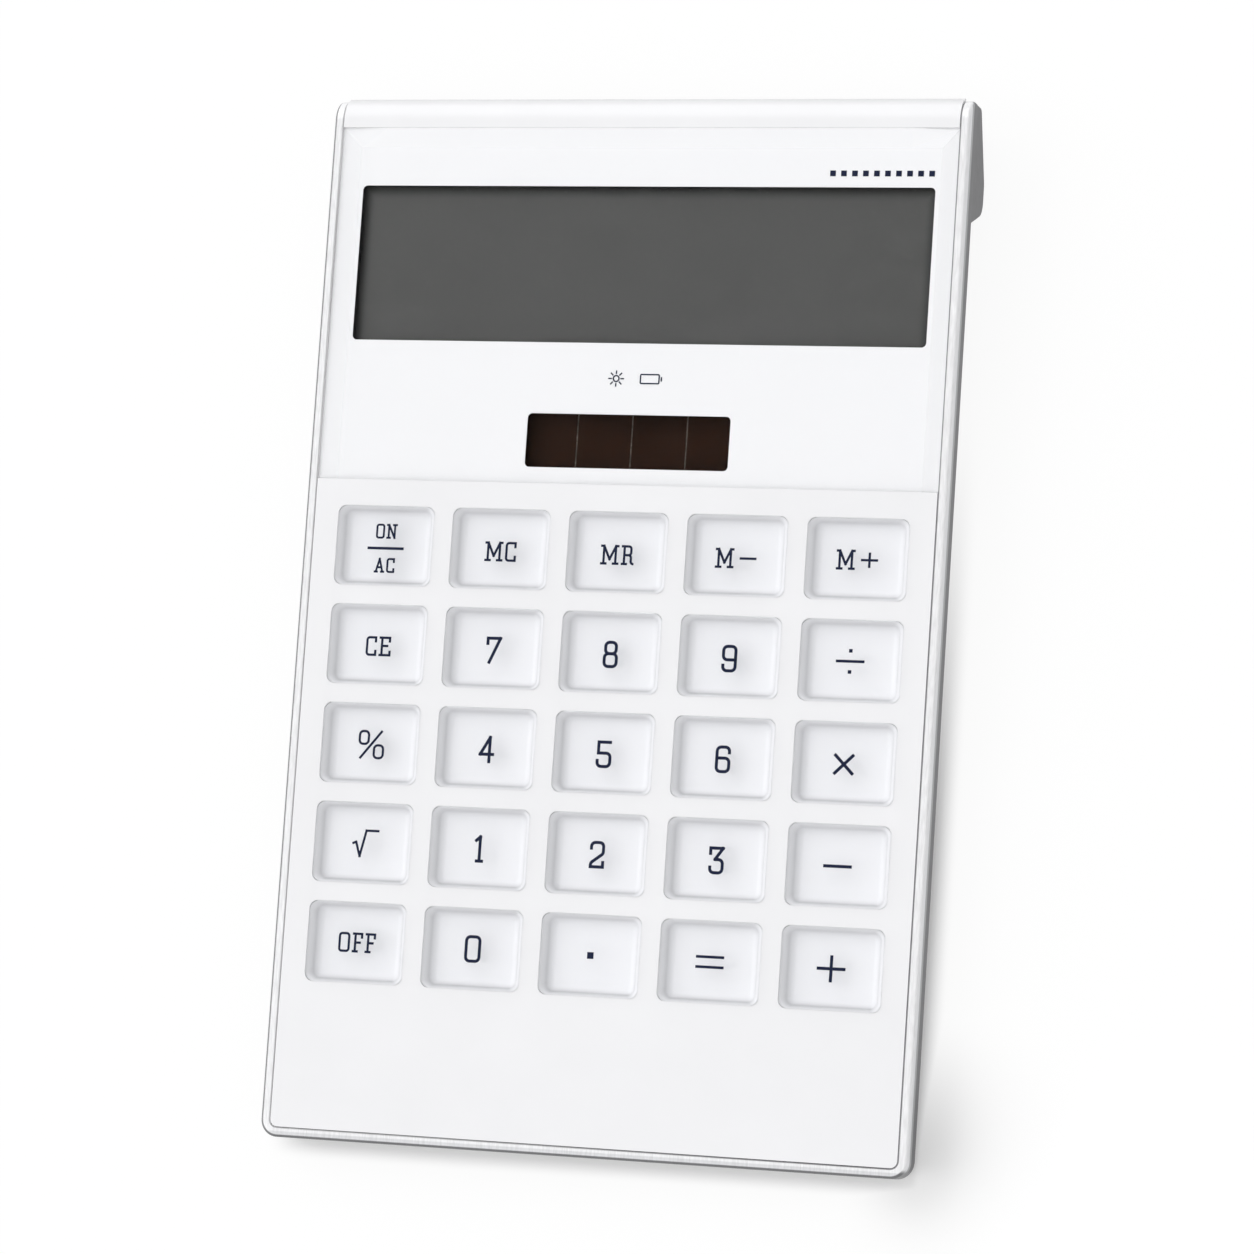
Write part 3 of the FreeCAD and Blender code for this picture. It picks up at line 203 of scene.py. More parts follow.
class CalculatorPrint(bpy.types.PropertyGroup):
    stroke: length_prop("Stroke", "Width of the printed lines of digits and signs", 0.52)
    word_stroke: length_prop("Word stroke", "Width of the printed lines of words", 0.4)
    ink: length_prop("Ink", "Thickness of the printed lines", 0.03)
    digit: length_prop("Digit height", "Height of the digits", 4.5)
    word: length_prop("Word height", "Height of the capital letters", 3.3)
    small: length_prop("Small height", "Height of the two small words on one key", 2.5)
    percent: length_prop("Percent height", "Height of the percent sign", 4.8)
    sign: length_prop("Sign", "Length of the bars of the signs", 4.75)
    aside: length_prop("Aside", "How far the print stands to the right of a key's middle", 0.25)
    below: length_prop("Below", "How far the print stands on the near side of a key's middle", 0.24)
    draw_in: bpy.props.FloatVectorProperty(
        name="Draw in", description="Share by which the prints stand closer together than the keys, across and along",
        default=(0.0045, 0.0075), size=2, precision=4)
    navy: colour_prop("Navy", "Colour of the print", screen(9, 21, 52))


class CalculatorSigns(bpy.types.PropertyGroup):
    stroke: length_prop("Stroke", "Width of the lines of the sun and the battery", 0.22)
    bend: length_prop("Bend", "Rounding of the battery's corners", 0.15)
    depth: length_prop("Depth", "From the clear panel's underside up to the signs", 0.05)
    place: place_prop("Place", "Middle of the two signs, to the right of the middle key and away from it", 0.6, 62.0)
    sun: length_prop("Sun", "Radius of the sun's ring", 0.5)
    ray_start: length_prop("Ray start", "From the sun's middle to where its rays start", 0.85)
    ray_end: length_prop("Ray end", "From the sun's middle to where its rays end", 1.25)
    rays: bpy.props.IntProperty(name="Rays", description="Number of the sun's rays", default=8, min=1)
    sun_left: length_prop("Sun left", "How far the sun stands to the left", 3.2)
    battery: place_prop("Battery", "Half the battery's width and half its height", 1.6, 0.75)
    pole: place_prop("Pole", "From the battery's middle to its pole, and half the pole's height", 2.0, 0.25)
    battery_right: length_prop("Battery right", "How far the battery stands to the right", 2.6)
    squares: bpy.props.IntProperty(name="Squares", description="Number of squares in the row", default=10, min=1)
    square: length_prop("Square", "Side of a square", 0.95)
    square_pitch: length_prop("Square pitch", "Distance from one square to the next", 1.85)
    row_place: place_prop("Row place", "Middle of the row, to the right of the middle key and away from it", 40.5, 96.5)


class CalculatorDisplay(bpy.types.PropertyGroup):
    film: colour_prop("Display", "Colour of the blank display", screen(81, 81, 80))
    # Painted shade of the window's edge over the display.
    shade_depth: length_prop("Shade depth", "How far the shade of the window's far edge reaches over the display", 3.2)
    shade_sides: length_prop("Side shade", "How far the shade of the window's sides reaches over the display", 2.8)
    shade_dim: share_prop("Shade", "Share of the display's colour left at the window's edge", 0.1)
    mask: colour_prop("Panel", "White print under the clear panel", (0.868, 0.87, 0.883))
    edge_width: length_prop("Edge width", "Width of the white slope along the panel's edges", 3.1)
    side_drop: length_prop("Side drop", "From the panel's top down to the slope's upper end at the sides", 0.45)
    far_drop: length_prop("Far drop", "From the panel's top down to the slope's upper end at the far end", 0.03)
    far_run: length_prop("Far run", "From a far corner to where the slope reaches its full height", 8.0)
    edge_reach: place_prop("Edge reach", "Right and far ends of the white slope", 53.38, 82.31)
    # Painted light and shade on the print's white slope, against the way the light falls on it.
    slope_light: bpy.props.FloatVectorProperty(
        name="Slope light", description="How much whiter the print is where it faces right and towards the near end",
        default=(0.42, 0.33), size=2)
    panel: colour_prop("Clear panel", "Tint of the clear panel", (0.99, 0.992, 0.996))
    strip: colour_prop("Solar strip", "Colour of the solar strips", screen(42, 20, 6))
    conductor: colour_prop("Conductor", "Colour of the lines between the solar strips", screen(140, 136, 130))
    strips: bpy.props.IntProperty(name="Strips", description="Number of solar strips", default=4, min=1)
    strip_pitch: length_prop("Strip pitch", "Distance from one strip to the next", 9.45)
    strip_gap: length_prop("Strip gap", "Gap between two strips", 0.22)
    line_share: number_prop("Line share", "Width of a conductor line as a share of the gap", 1.3)


class CalculatorStage(bpy.types.PropertyGroup):
    camera_right: length_prop("Camera right", "Camera to the right of the middle key", 239.8)
    camera_near: length_prop("Camera near", "Camera on the near side of the middle key", 61.0)
    camera_height: length_prop("Camera height", "Camera above the face", 739.6)
    focal: bpy.props.FloatProperty(name="Focal length", description="Lens of the camera on a 36 mm sensor",
                                   default=137.45, unit="CAMERA")
    floor: colour_prop("Floor", "Colour of the floor", (0.96, 0.96, 0.96))
    glow: share_prop("Glow", "Share of the floor's look that is its glow", 0.92)
    shadow_glow: share_prop("Shadow glow", "The same where the floor keeps the shadow", 0.22)
    sky: number_prop("Sky", "Strength of the light from all round", 0.66)
    key_light: number_prop("Key light", "Added strength of the soft light at the upper left", 1.8)
    card: share_prop("Card", "How dark the card above the face is", 0.95)


GROUPS = {
    "calculator_case": CalculatorCase,
    "calculator_keys": CalculatorKeys,
    "calculator_mat": CalculatorMat,
    "calculator_print": CalculatorPrint,
    "calculator_signs": CalculatorSigns,
    "calculator_display": CalculatorDisplay,
    "calculator_stage": CalculatorStage,
}


# Node helpers
def add_node(tree, kind, inputs=None, **settings):
    """Adds a node, sets its settings and fills its inputs with values or with other nodes' outputs."""
    node = tree.nodes.new(kind)
    for name, value in settings.items():
        setattr(node, name, value)
    for name, value in (inputs or {}).items():
        if isinstance(value, bpy.types.NodeSocket):
            tree.links.new(value, node.inputs[name])
        else:
            node.inputs[name].default_value = value
    return node


def maths(tree, operation, first, second):
    return add_node(tree, "ShaderNodeMath", {0: first, 1: second}, operation=operation).outputs[0]


def absolute(tree, value):
    return add_node(tree, "ShaderNodeMath", {0: value}, operation="ABSOLUTE").outputs[0]


def normal_axes(tree):
    """The direction that the surface faces, axis by axis."""
    normal = add_node(tree, "ShaderNodeTexCoord").outputs["Normal"]
    return add_node(tree, "ShaderNodeSeparateXYZ", {"Vector": normal}).outputs


def map_range(tree, value, from_low, from_high, to_low, to_high):
    return add_node(tree, "ShaderNodeMapRange", {"Value": value, "From Min": from_low, "From Max": from_high,
                                                 "To Min": to_low, "To Max": to_high}).outputs["Result"]


def scale_colour(tree, shader, colour, factor):
    """Gives the shader a colour that a value makes darker or lighter."""
    tint = add_node(tree, "ShaderNodeVectorMath", {0: colour, "Scale": factor}, operation="SCALE")
    tree.links.new(tint.outputs["Vector"], shader.inputs["Base Color"])


# Finishes
# Most of the grain's values lie between these two.
GRAIN = (0.3, 0.7)


def new_finish(name):
    """An empty material: its tree, its shader and the coordinates of the object."""
    material = bpy.data.materials.new(name)
    material.use_nodes = True
    tree = material.node_tree
    shader = tree.nodes["Principled BSDF"]
    place = add_node(tree, "ShaderNodeTexCoord").outputs["Object"]
    return material, tree, shader, place


def noise(tree, place, scale, detail=3.0, stretch=None):
    """Fine irregular grain, about 1 / scale metres across, stretched along an axis if asked."""
    if stretch:
        place = add_node(tree, "ShaderNodeMapping", {"Vector": place, "Scale": stretch}).outputs["Vector"]
    return add_node(tree, "ShaderNodeTexNoise", {"Vector": place, "Scale": scale, "Detail": detail}).outputs["Fac"]


def vary_colour(tree, shader, fac, colour, spread):
    """Lets the colour drift a little darker and lighter with the grain."""
    ramp = add_node(tree, "ShaderNodeValToRGB", {"Fac": fac})
    for stop, place, factor in zip(ramp.color_ramp.elements, GRAIN, (1 - spread, 1 + spread)):
        stop.position = place
        stop.color = (*(min(1.0, part * factor) for part in colour), 1)
    tree.links.new(ramp.outputs["Color"], shader.inputs["Base Color"])


def vary_roughness(tree, shader, fac, low, high):
    tree.links.new(map_range(tree, fac, *GRAIN, low, high), shader.inputs["Roughness"])


def raise_bump(tree, shader, fac, distance, strength=1.0):
    bump = add_node(tree, "ShaderNodeBump", {"Height": fac, "Distance": distance, "Strength": strength})
    tree.links.new(bump.outputs["Normal"], shader.inputs["Normal"])


def moulded(name, colour, rough=(0.38, 0.46), grain=5200, spread=0.012, bump=0.0000012, shine=0.5):
    """Moulded plastic or rubber with a fine even grain and slow drifts of gloss."""
    material, tree, shader, place = new_finish(name)
    shader.inputs["Specular IOR Level"].default_value = shine
    vary_colour(tree, shader, noise(tree, place, 60, 4), colour, spread)
    vary_roughness(tree, shader, noise(tree, place, 220, 4), *rough)
    raise_bump(tree, shader, noise(tree, place, grain, 2), bump)
    return material


def grained(material):
    """The tree of a moulded finish, its shader and its grained colour, to be shaded further."""
    tree = material.node_tree
    shader = tree.nodes["Principled BSDF"]
    return tree, shader, shader.inputs["Base Color"].links[0].from_socket


def blended(tree, fac, low, high):
    """A colour that goes from one to another as a value goes from 0 to 1. Either may be a colour or another node's."""
    mix = add_node(tree, "ShaderNodeMix", {"Factor": fac}, data_type="RGBA")
    for socket, colour in (("A_Color", low), ("B_Color", high)):
        entry = next(entry for entry in mix.inputs if entry.identifier == socket)
        if isinstance(colour, bpy.types.NodeSocket):
            tree.links.new(colour, entry)
        else:
            entry.default_value = (*colour, 1)
    return next(entry for entry in mix.outputs if entry.identifier == "Result_Color")


def between(tree, value, low, high):
    """0 below one value and 1 above another, with a soft step from the one to the other."""
    return add_node(tree, "ShaderNodeMapRange", {"Value": value, "From Min": low, "From Max": high},
                    interpolation_type="SMOOTHSTEP").outputs["Result"]


def case_axes(tree, place):
    """The place on the object in the case's own directions, axis by axis."""
    level = add_node(tree, "ShaderNodeMapping", {"Vector": place, "Rotation": (-TILT, 0, 0)}).outputs["Vector"]
    return add_node(tree, "ShaderNodeSeparateXYZ", {"Vector": level}).outputs


def paint(tree, shader, place, colour):
    """Metallic paint over a brushed grain."""
    brushed = noise(tree, place, 1500, 4, (3, 0.25, 3))
    scale_colour(tree, shader, colour, map_range(tree, brushed, *GRAIN, 0.91, 1.05))
    vary_roughness(tree, shader, brushed, 0.32, 0.44)
    raise_bump(tree, shader, brushed, 0.000002)
    shader.inputs["Metallic"].default_value = 0.25
    shader.inputs["Specular IOR Level"].default_value = 0.25


# Soft steps of the finishes, which place their painted light and shade. Of the frame: how far a normal leans until a
# wall counts as looking up and is painted bright, as looking right and as not looking left, and the heights, in shares
# of the frame's, between which its sides turn dark with painted shade. Of the face: from level to turned down at the
# far end, where shade is painted. Of a key's tray: from its walls, which carry painted shade, to its floor.
LOOKS_UP = (0.2, 0.55)
LOOKS_RIGHT = (0.3, 0.6)
NOT_LEFT = (-0.3, 0.0)
DARK_BELOW = (0.4, 0.54)
TURNS_FAR = (0.55, 1.0)
WALL_TO_FLOOR = (0.5, 0.97)


def frame_paint(name, looks):
    """Silver paint with painted light and shade: bright where the frame looks up, painted shade down its sides and a
    painted gap shadow along its inner edge.
    """
    material, tree, shader, place = new_finish(name)
    low, high = case_box("side_frame")
    face_low, face_high = case_box("front_cover")
    axes = case_axes(tree, place)
    normal = normal_axes(tree)

    # Painted shade: the sides are darker than the lip and darker still towards their lower edge; the side that looks
    # left is painted darkest, as a painted dark reflection.
    rail = blended(tree, between(tree, normal["X"], *NOT_LEFT), looks.left, looks.rail)
    heights = [low.z + share * (high.z - low.z) for share in DARK_BELOW]
    sides = blended(tree, between(tree, axes["Z"], *heights), looks.shade, rail)
    # Painted highlight: on the right side, a band just below the lip is lighter.
    upper = between(tree, axes["Z"], high.z - 1.1 * looks.bevel_depth, high.z - 0.9 * looks.bevel_depth)
    beside = maths(tree, "MULTIPLY", upper, between(tree, normal["X"], *LOOKS_RIGHT))
    sides = blended(tree, beside, sides, looks.bevel)

    # Painted shade: the near lip turns greyer towards its edge.
    before = maths(tree, "SUBTRACT", face_low.y, axes["Y"])
    lip = blended(tree, between(tree, before, looks.near_band, 1.4 * looks.near_band), looks.lip, looks.near)
    upward = between(tree, normal["Z"], *LOOKS_UP)
    bright = blended(tree, upward, sides, lip)

    corner = looks.face_corner
    aside = maths(tree, "SUBTRACT", absolute(tree, axes["X"]), face_high.x - corner)
    round_corner = add_node(tree, "ShaderNodeCombineXYZ", {
        "X": maths(tree, "MAXIMUM", aside, 0.0),
        "Y": maths(tree, "MAXIMUM", maths(tree, "ADD", before, corner), 0.0)}).outputs["Vector"]
    far = add_node(tree, "ShaderNodeVectorMath", {0: round_corner}, operation="LENGTH").outputs["Value"]
    beyond = maths(tree, "SUBTRACT", far, corner)
    # Painted dark reflection: a dark line along the left and near upper edges.
    rim = face_low.x - low.x
    outer = between(tree, beyond, rim - 1.2 * looks.edge_band, rim - 0.8 * looks.edge_band)
    left_or_near = maths(tree, "MAXIMUM", between(tree, axes["X"], 0.2 * high.x, 0.2 * low.x),
                         between(tree, before, 0.0, rim / 2))
    silver = blended(tree, maths(tree, "MULTIPLY", outer, left_or_near), bright, looks.left)

    # Painted gap shadow: a grey line along the inner edge, lighter on the left where the light comes from, with the
    # walls that look inwards painted light.
    line = between(tree, beyond, looks.groove_width, 1.8 * looks.groove_width)
    groove = blended(tree, between(tree, axes["X"], -face_high.x, face_high.x), looks.left_groove, looks.groove)
    edge = blended(tree, upward, looks.inner, groove)
    paint(tree, shader, place, blended(tree, line, edge, silver))
    return material


def back_paint(name, colour):
    """Grey paint, the same all over the back."""
    material, tree, shader, place = new_finish(name)
    darker, lighter = (tuple(factor * part for part in colour) for factor in (0.96, 1.04))
    paint(tree, shader, place, blended(tree, noise(tree, place, 45, 3), darker, lighter))
    return material


def face_plastic(name, colour, dim):
    """The moulded white of the face, with painted shade where it turns away at its far end."""
    material = moulded(name, colour, (0.34, 0.42))
    tree, shader, grain = grained(material)
    # Painted shade: darker where the surface faces the far end.
    scale_colour(tree, shader, grain, map_range(tree, normal_axes(tree)["Y"], *TURNS_FAR, 1.0, dim))
    return material


def tray_plastic(name, colour, wall, lean):
    """The white of the key trays, with painted shade on their sloping walls, least on the far one."""
    material = moulded(name, colour, (0.5, 0.6), grain=4000, spread=0.006, bump=0.0000004)
    tree, shader, grain = grained(material)
    normal = normal_axes(tree)
    # Painted shade on the sloping walls, lightened on the far wall and darkened on the near one.
    turned = map_range(tree, normal["Z"], *WALL_TO_FLOOR, wall, 1.0)
    near_or_far = maths(tree, "MULTIPLY", normal["Y"], lean)
    scale_colour(tree, shader, grain, maths(tree, "SUBTRACT", turned, near_or_far))
    return material


def sloped_print(name, colour, light):
    """The white of the panel's print, with painted light where it slopes away from the light and painted shade where it
    slopes to it.
    """
    material = moulded(name, colour, (0.5, 0.6), grain=3000, spread=0.004, bump=0.0)
    tree, shader, grain = grained(material)
    normal = add_node(tree, "ShaderNodeTexCoord").outputs["Normal"]
    # Painted light and shade: whiter where the slope faces right and towards the near end, greyer the other way.
    facing = add_node(tree, "ShaderNodeVectorMath", {0: normal, 1: (light[0], -light[1], 0)}, operation="DOT_PRODUCT")
    scale_colour(tree, shader, grain, maths(tree, "ADD", facing.outputs["Value"], 1.0))
    return material


def display_finish(name, colour, node, depth, sides, dim):
    """A blank display with painted shade along its far edge and its sides, where the window's edge shades it."""
    material, tree, shader, place = new_finish(name)
    high = case_box(node)[1]
    axes = case_axes(tree, place)
    # Painted shade: darker towards the window's far edge and its sides.
    far = between(tree, axes["Y"], high.y - depth, high.y)
    edge = between(tree, absolute(tree, axes["X"]), high.x - sides, high.x)
    dark = tuple(dim * part for part in colour)
    film = blended(tree, maths(tree, "MAXIMUM", far, edge), colour, dark)
    scale_colour(tree, shader, film, map_range(tree, noise(tree, place, 4000, 2), 0.0, 1.0, 0.96, 1.04))
    vary_roughness(tree, shader, noise(tree, place, 220, 4), 0.3, 0.38)
    return material


def clear(name, colour, rough=(0.0, 0.02), ior=1.005):
    """Polished clear plastic or glass."""
    material, tree, shader, place = new_finish(name)
    vary_roughness(tree, shader, noise(tree, place, 300, 4), *rough)
    shader.inputs["Base Color"].default_value = (*colour, 1)
    shader.inputs["Transmission Weight"].default_value = 1.0
    shader.inputs["IOR"].default_value = ior
    shader.inputs["Coat Weight"].default_value = 0.25
    shader.inputs["Coat Roughness"].default_value = 0.02
    return material


# Where the floor keeps the shadow: at the near right corner and along the near edge. Each pair goes from where that
# starts to where it is full, in metres from the middle.
CORNER_X, CORNER_Y = (0.042, 0.06), (-0.06, -0.085)
FRONT_X, FRONT_Y = (0.0575, 0.0535), (-0.0907, -0.0876)
NEAR_HALF = (0.04, -0.04)


def lit_paper(name, looks):
    """White paper that glows to the eye, except where it keeps the shadow. It is clear from below."""
    material = moulded(name, looks.floor, (0.6, 0.7), grain=700, spread=0.004, bump=0.000002)
    tree = material.node_tree
    path = add_node(tree, "ShaderNodeLightPath").outputs
    seen = maths(tree, "MAXIMUM", maths(tree, "MAXIMUM", path["Is Camera Ray"], path["Is Glossy Ray"]),
                 path["Is Transmission Ray"])
    place = add_node(tree, "ShaderNodeTexCoord").outputs["Object"]
    axes = add_node(tree, "ShaderNodeSeparateXYZ", {"Vector": place}).outputs
    corner = maths(tree, "MULTIPLY", between(tree, axes["X"], *CORNER_X), between(tree, axes["Y"], *CORNER_Y))
    front = maths(tree, "MULTIPLY", between(tree, absolute(tree, axes["X"]), *FRONT_X),
                  between(tree, axes["Y"], *FRONT_Y))
    front = maths(tree, "MULTIPLY", front, between(tree, axes["Y"], *NEAR_HALF))
    share = map_range(tree, maths(tree, "MAXIMUM", corner, front), 0.0, 1.0, looks.glow, looks.shadow_glow)
    glow = add_node(tree, "ShaderNodeEmission", {"Color": (1, 1, 1, 1), "Strength": 1.0}).outputs["Emission"]
    both = add_node(tree, "ShaderNodeMixShader", {0: maths(tree, "MULTIPLY", seen, share),
                                                  1: tree.nodes["Principled BSDF"].outputs["BSDF"], 2: glow})
    under = add_node(tree, "ShaderNodeNewGeometry").outputs["Backfacing"]
    nothing = add_node(tree, "ShaderNodeBsdfTransparent").outputs["BSDF"]
    open_below = add_node(tree, "ShaderNodeMixShader", {0: under, 1: both.outputs["Shader"], 2: nothing})
    tree.links.new(open_below.outputs["Shader"], tree.nodes["Material Output"].inputs["Surface"])
    return material


def metal(name, colour, rough=(0.2, 0.34)):
    """Bare metal with a drawn grain."""
    material, tree, shader, place = new_finish(name)
    drawn = noise(tree, place, 1500, 3, (1, 12, 1))
    vary_colour(tree, shader, drawn, colour, 0.06)
    vary_roughness(tree, shader, drawn, *rough)
    shader.inputs["Metallic"].default_value = 1.0
    return material


def board_finish(name):
    """Green board with copper tracks showing through the lacquer."""
    material, tree, shader, place = new_finish(name)
    tracks = add_node(tree, "ShaderNodeTexBrick", {"Vector": place, "Scale": 90, "Color1": (0.015, 0.12, 0.045, 1),
                                                   "Color2": (0.02, 0.15, 0.06, 1), "Mortar": (0.05, 0.22, 0.09, 1),
                                                   "Mortar Size": 0.03})
    tree.links.new(tracks.outputs["Color"], shader.inputs["Base Color"])
    vary_roughness(tree, shader, noise(tree, place, 400), 0.3, 0.42)
    raise_bump(tree, shader, tracks.outputs["Fac"], 0.00001, 0.5)
    return material


# Mesh helpers
# Sides of a full circle and of the sun's small ring, and steps in a rounded corner and in a bend of the print.
ROUND_STEPS = 32
RING_STEPS = 16
CORNER_STEPS = 8
BEND_STEPS = 6


def add_piece(name, mesh):
    piece = bpy.data.objects.new(name, mesh)
    bpy.context.scene.collection.objects.link(piece)
    return piece


def baked(holder):
    """The plain mesh that an object's modifiers give. The object is removed."""
    graph = bpy.context.evaluated_depsgraph_get()
    mesh = bpy.data.meshes.new_from_object(holder.evaluated_get(graph))
    mesh.name = holder.name
    bpy.data.objects.remove(holder)
    return mesh


def finish_node(node, material):
    """Gives a finish to a CAD node that is shown as it is."""
    slots = frame["nodes"][node].data.materials
    slots.clear()
    slots.append(material)


def smooth_copy(node, name, material, body, lift=0.0):
    """A welded, evenly shaded copy of a CAD node that stands for it. lift raises its top face into what lies on it."""
    mesh = frame["nodes"][node].data.copy()
    shape = bmesh.new()
    shape.from_mesh(mesh)
    bmesh.ops.remove_doubles(shape, verts=shape.verts, dist=1e-6)
    if lift:
        top = case_box(node)[1].z
        back = TURN.inverted()
        normal = TURN @ Vector((0, 0, 1))
        for vertex in shape.verts:
            if (back @ vertex.co).z > top - 0.01 * MM:
                vertex.co += normal * lift
    shape.to_mesh(mesh)
    shape.free()
    if "custom_normal" in mesh.attributes:
        mesh.attributes.remove(mesh.attributes["custom_normal"])
    mesh.shade_smooth()
    mesh.set_sharp_from_angle(angle=bpy.context.scene.calculator_case.smooth_angle)
    holder = add_piece(name, mesh)
    even = holder.modifiers.new("Even shading", "WEIGHTED_NORMAL")
    even.keep_sharp = True
    even.weight = 100
    mesh = baked(holder)
    mesh.materials.clear()
    mesh.materials.append(material)
    piece = add_piece(name, mesh)
    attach(piece, body)
    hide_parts(node)


def new_tree(name, sockets):
    """A geometry tree with named inputs, its input node and a call that closes it."""
    tree = bpy.data.node_groups.new(name, "GeometryNodeTree")
    tree.interface.new_socket("Geometry", in_out="INPUT", socket_type="NodeSocketGeometry")
    for socket, kind in sockets.items():
        tree.interface.new_socket(socket, in_out="INPUT", socket_type=f"NodeSocket{kind}")
    tree.interface.new_socket("Geometry", in_out="OUTPUT", socket_type="NodeSocketGeometry")
    given = tree.nodes.new("NodeGroupInput").outputs

    def close(geometry):
        real = add_node(tree, "GeometryNodeRealizeInstances", {"Geometry": geometry}).outputs["Geometry"]
        painted = add_node(tree, "GeometryNodeSetMaterial", {"Geometry": real, "Material": given["Material"]})
        add_node(tree, "NodeGroupOutput", {"Geometry": painted.outputs["Geometry"]})
        return tree
    return tree, given, close


def grow(tree, name, sizes, mesh=None, modifiers=()):
    """Runs a geometry tree on a mesh, then the modifiers, and returns the plain mesh."""
    holder = add_piece(name, mesh or bpy.data.meshes.new(name))
    growth = holder.modifiers.new("Growth", "NODES")
    growth.node_group = tree
    for item in tree.interface.items_tree:
        if item.in_out == "INPUT" and item.name in sizes:
            growth[item.identifier] = sizes[item.name]
    for kind, settings in modifiers:
        extra = holder.modifiers.new(kind, kind)
        for setting, value in settings.items():
            setattr(extra, setting, value)
    return baked(holder)


def settle(mesh, name, place, body):
    """A copy of a mesh, moved to its place, as a piece that rides on a body."""
    copy = mesh.copy()
    copy.name = name
    copy.transform(place)
    piece = add_piece(name, copy)
    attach(piece, body)
    return piece


def outline(tree, width, length, corner, steps):
    """A rectangle with rounded corners as a curve."""
    frame_curve = add_node(tree, "GeometryNodeCurvePrimitiveQuadrilateral", {"Width": width, "Height": length})
    return add_node(tree, "GeometryNodeFilletCurve", {"Curve": frame_curve.outputs["Curve"], "Count": steps,
                                                      "Radius": corner}, mode="POLY").outputs["Curve"]


def solid_block(tree, curve, height):
    """A closed block that stands on a curve."""
    face = add_node(tree, "GeometryNodeFillCurve", {"Curve": curve}, mode="NGONS").outputs["Mesh"]
    raised = add_node(tree, "GeometryNodeExtrudeMesh", {"Mesh": face, "Offset Scale": height, "Individual": False})
    under = add_node(tree, "GeometryNodeFlipFaces", {"Mesh": face}).outputs["Mesh"]
    both = add_node(tree, "GeometryNodeJoinGeometry", {"Geometry": raised.outputs["Mesh"]})
    tree.links.new(under, both.inputs["Geometry"])
    return add_node(tree, "GeometryNodeMergeByDistance", {"Geometry": both.outputs["Geometry"],
                                                          "Distance": 1e-7}).outputs["Geometry"]


def block_tree():
    """A block with rounded upright corners."""
    tree, given, close = new_tree("Clear block", {"Width": "Float", "Length": "Float", "Height": "Float",
                                                  "Corner": "Float", "Steps": "Int", "Material": "Material"})
    curve = outline(tree, given["Width"], given["Length"], given["Corner"], given["Steps"])
    solid = solid_block(tree, curve, given["Height"])
    return close(add_node(tree, "GeometryNodeSetShadeSmooth", {"Geometry": solid}).outputs["Geometry"])


def sheet_tree():
    """A sheet with rounded corners and a round hole at every point of the mesh that it is given."""
    tree, given, close = new_tree("Holed sheet", {"Width": "Float", "Length": "Float", "Height": "Float",
                                                  "Corner": "Float", "Hole": "Float", "Steps": "Int",
                                                  "Material": "Material"})
    ring = add_node(tree, "GeometryNodeCurvePrimitiveCircle", {"Resolution": ROUND_STEPS, "Radius": given["Hole"]})
    rings = add_node(tree, "GeometryNodeInstanceOnPoints", {"Points": given["Geometry"],
                                                            "Instance": ring.outputs["Curve"]})
    holes = add_node(tree, "GeometryNodeRealizeInstances", {"Geometry": rings.outputs["Instances"]})
    curves = add_node(tree, "GeometryNodeJoinGeometry", {"Geometry": holes.outputs["Geometry"]})
    border = outline(tree, given["Width"], given["Length"], given["Corner"], given["Steps"])
    tree.links.new(border, curves.inputs["Geometry"])
    return close(solid_block(tree, curves.outputs["Geometry"], given["Height"]))


def dome_tree():
    """A cone with its point cut off, open below."""
    tree, given, close = new_tree("Dome", {"Base": "Float", "Top": "Float", "Height": "Float", "Material": "Material"})
    cone = add_node(tree, "GeometryNodeMeshCone", {"Vertices": ROUND_STEPS, "Radius Bottom": given["Base"],
                                                   "Radius Top": given["Top"], "Depth": given["Height"]},
                    fill_type="NGON").outputs
    return close(add_node(tree, "GeometryNodeDeleteGeometry", {"Geometry": cone["Mesh"], "Selection": cone["Bottom"]},
                          domain="FACE").outputs["Geometry"])


def tray_tree():
    """A dish whose walls slope in from the rim to a flat floor."""
    tree, given, close = new_tree("Key tray", {"Rim Width": "Float", "Rim Length": "Float", "Floor Width": "Float",
                                               "Floor Length": "Float", "Depth": "Float", "Corner": "Float",
                                               "Steps": "Int", "Material": "Material"})
    curve = outline(tree, given["Floor Width"], given["Floor Length"], given["Corner"], given["Steps"])
    floor = add_node(tree, "GeometryNodeFillCurve", {"Curve": curve}, mode="NGONS").outputs["Mesh"]
    up = add_node(tree, "ShaderNodeCombineXYZ", {"Z": given["Depth"]}).outputs["Vector"]
    wall = add_node(tree, "GeometryNodeExtrudeMesh", {"Mesh": floor, "Offset": up, "Offset Scale": 1.0}, mode="EDGES")
    widen = add_node(tree, "ShaderNodeCombineXYZ", {
        "X": maths(tree, "DIVIDE", given["Rim Width"], given["Floor Width"]),
        "Y": maths(tree, "DIVIDE", given["Rim Length"], given["Floor Length"]), "Z": 1.0}).outputs["Vector"]
    spot = add_node(tree, "GeometryNodeInputPosition").outputs["Position"]
    wide = add_node(tree, "ShaderNodeVectorMath", {0: spot, 1: widen}, operation="MULTIPLY").outputs["Vector"]
    dish = add_node(tree, "GeometryNodeSetPosition", {"Geometry": wall.outputs["Mesh"], "Position": wide,
                                                      "Selection": wall.outputs["Top"]}).outputs["Geometry"]
    return close(add_node(tree, "GeometryNodeSetShadeSmooth", {"Geometry": dish}).outputs["Geometry"])


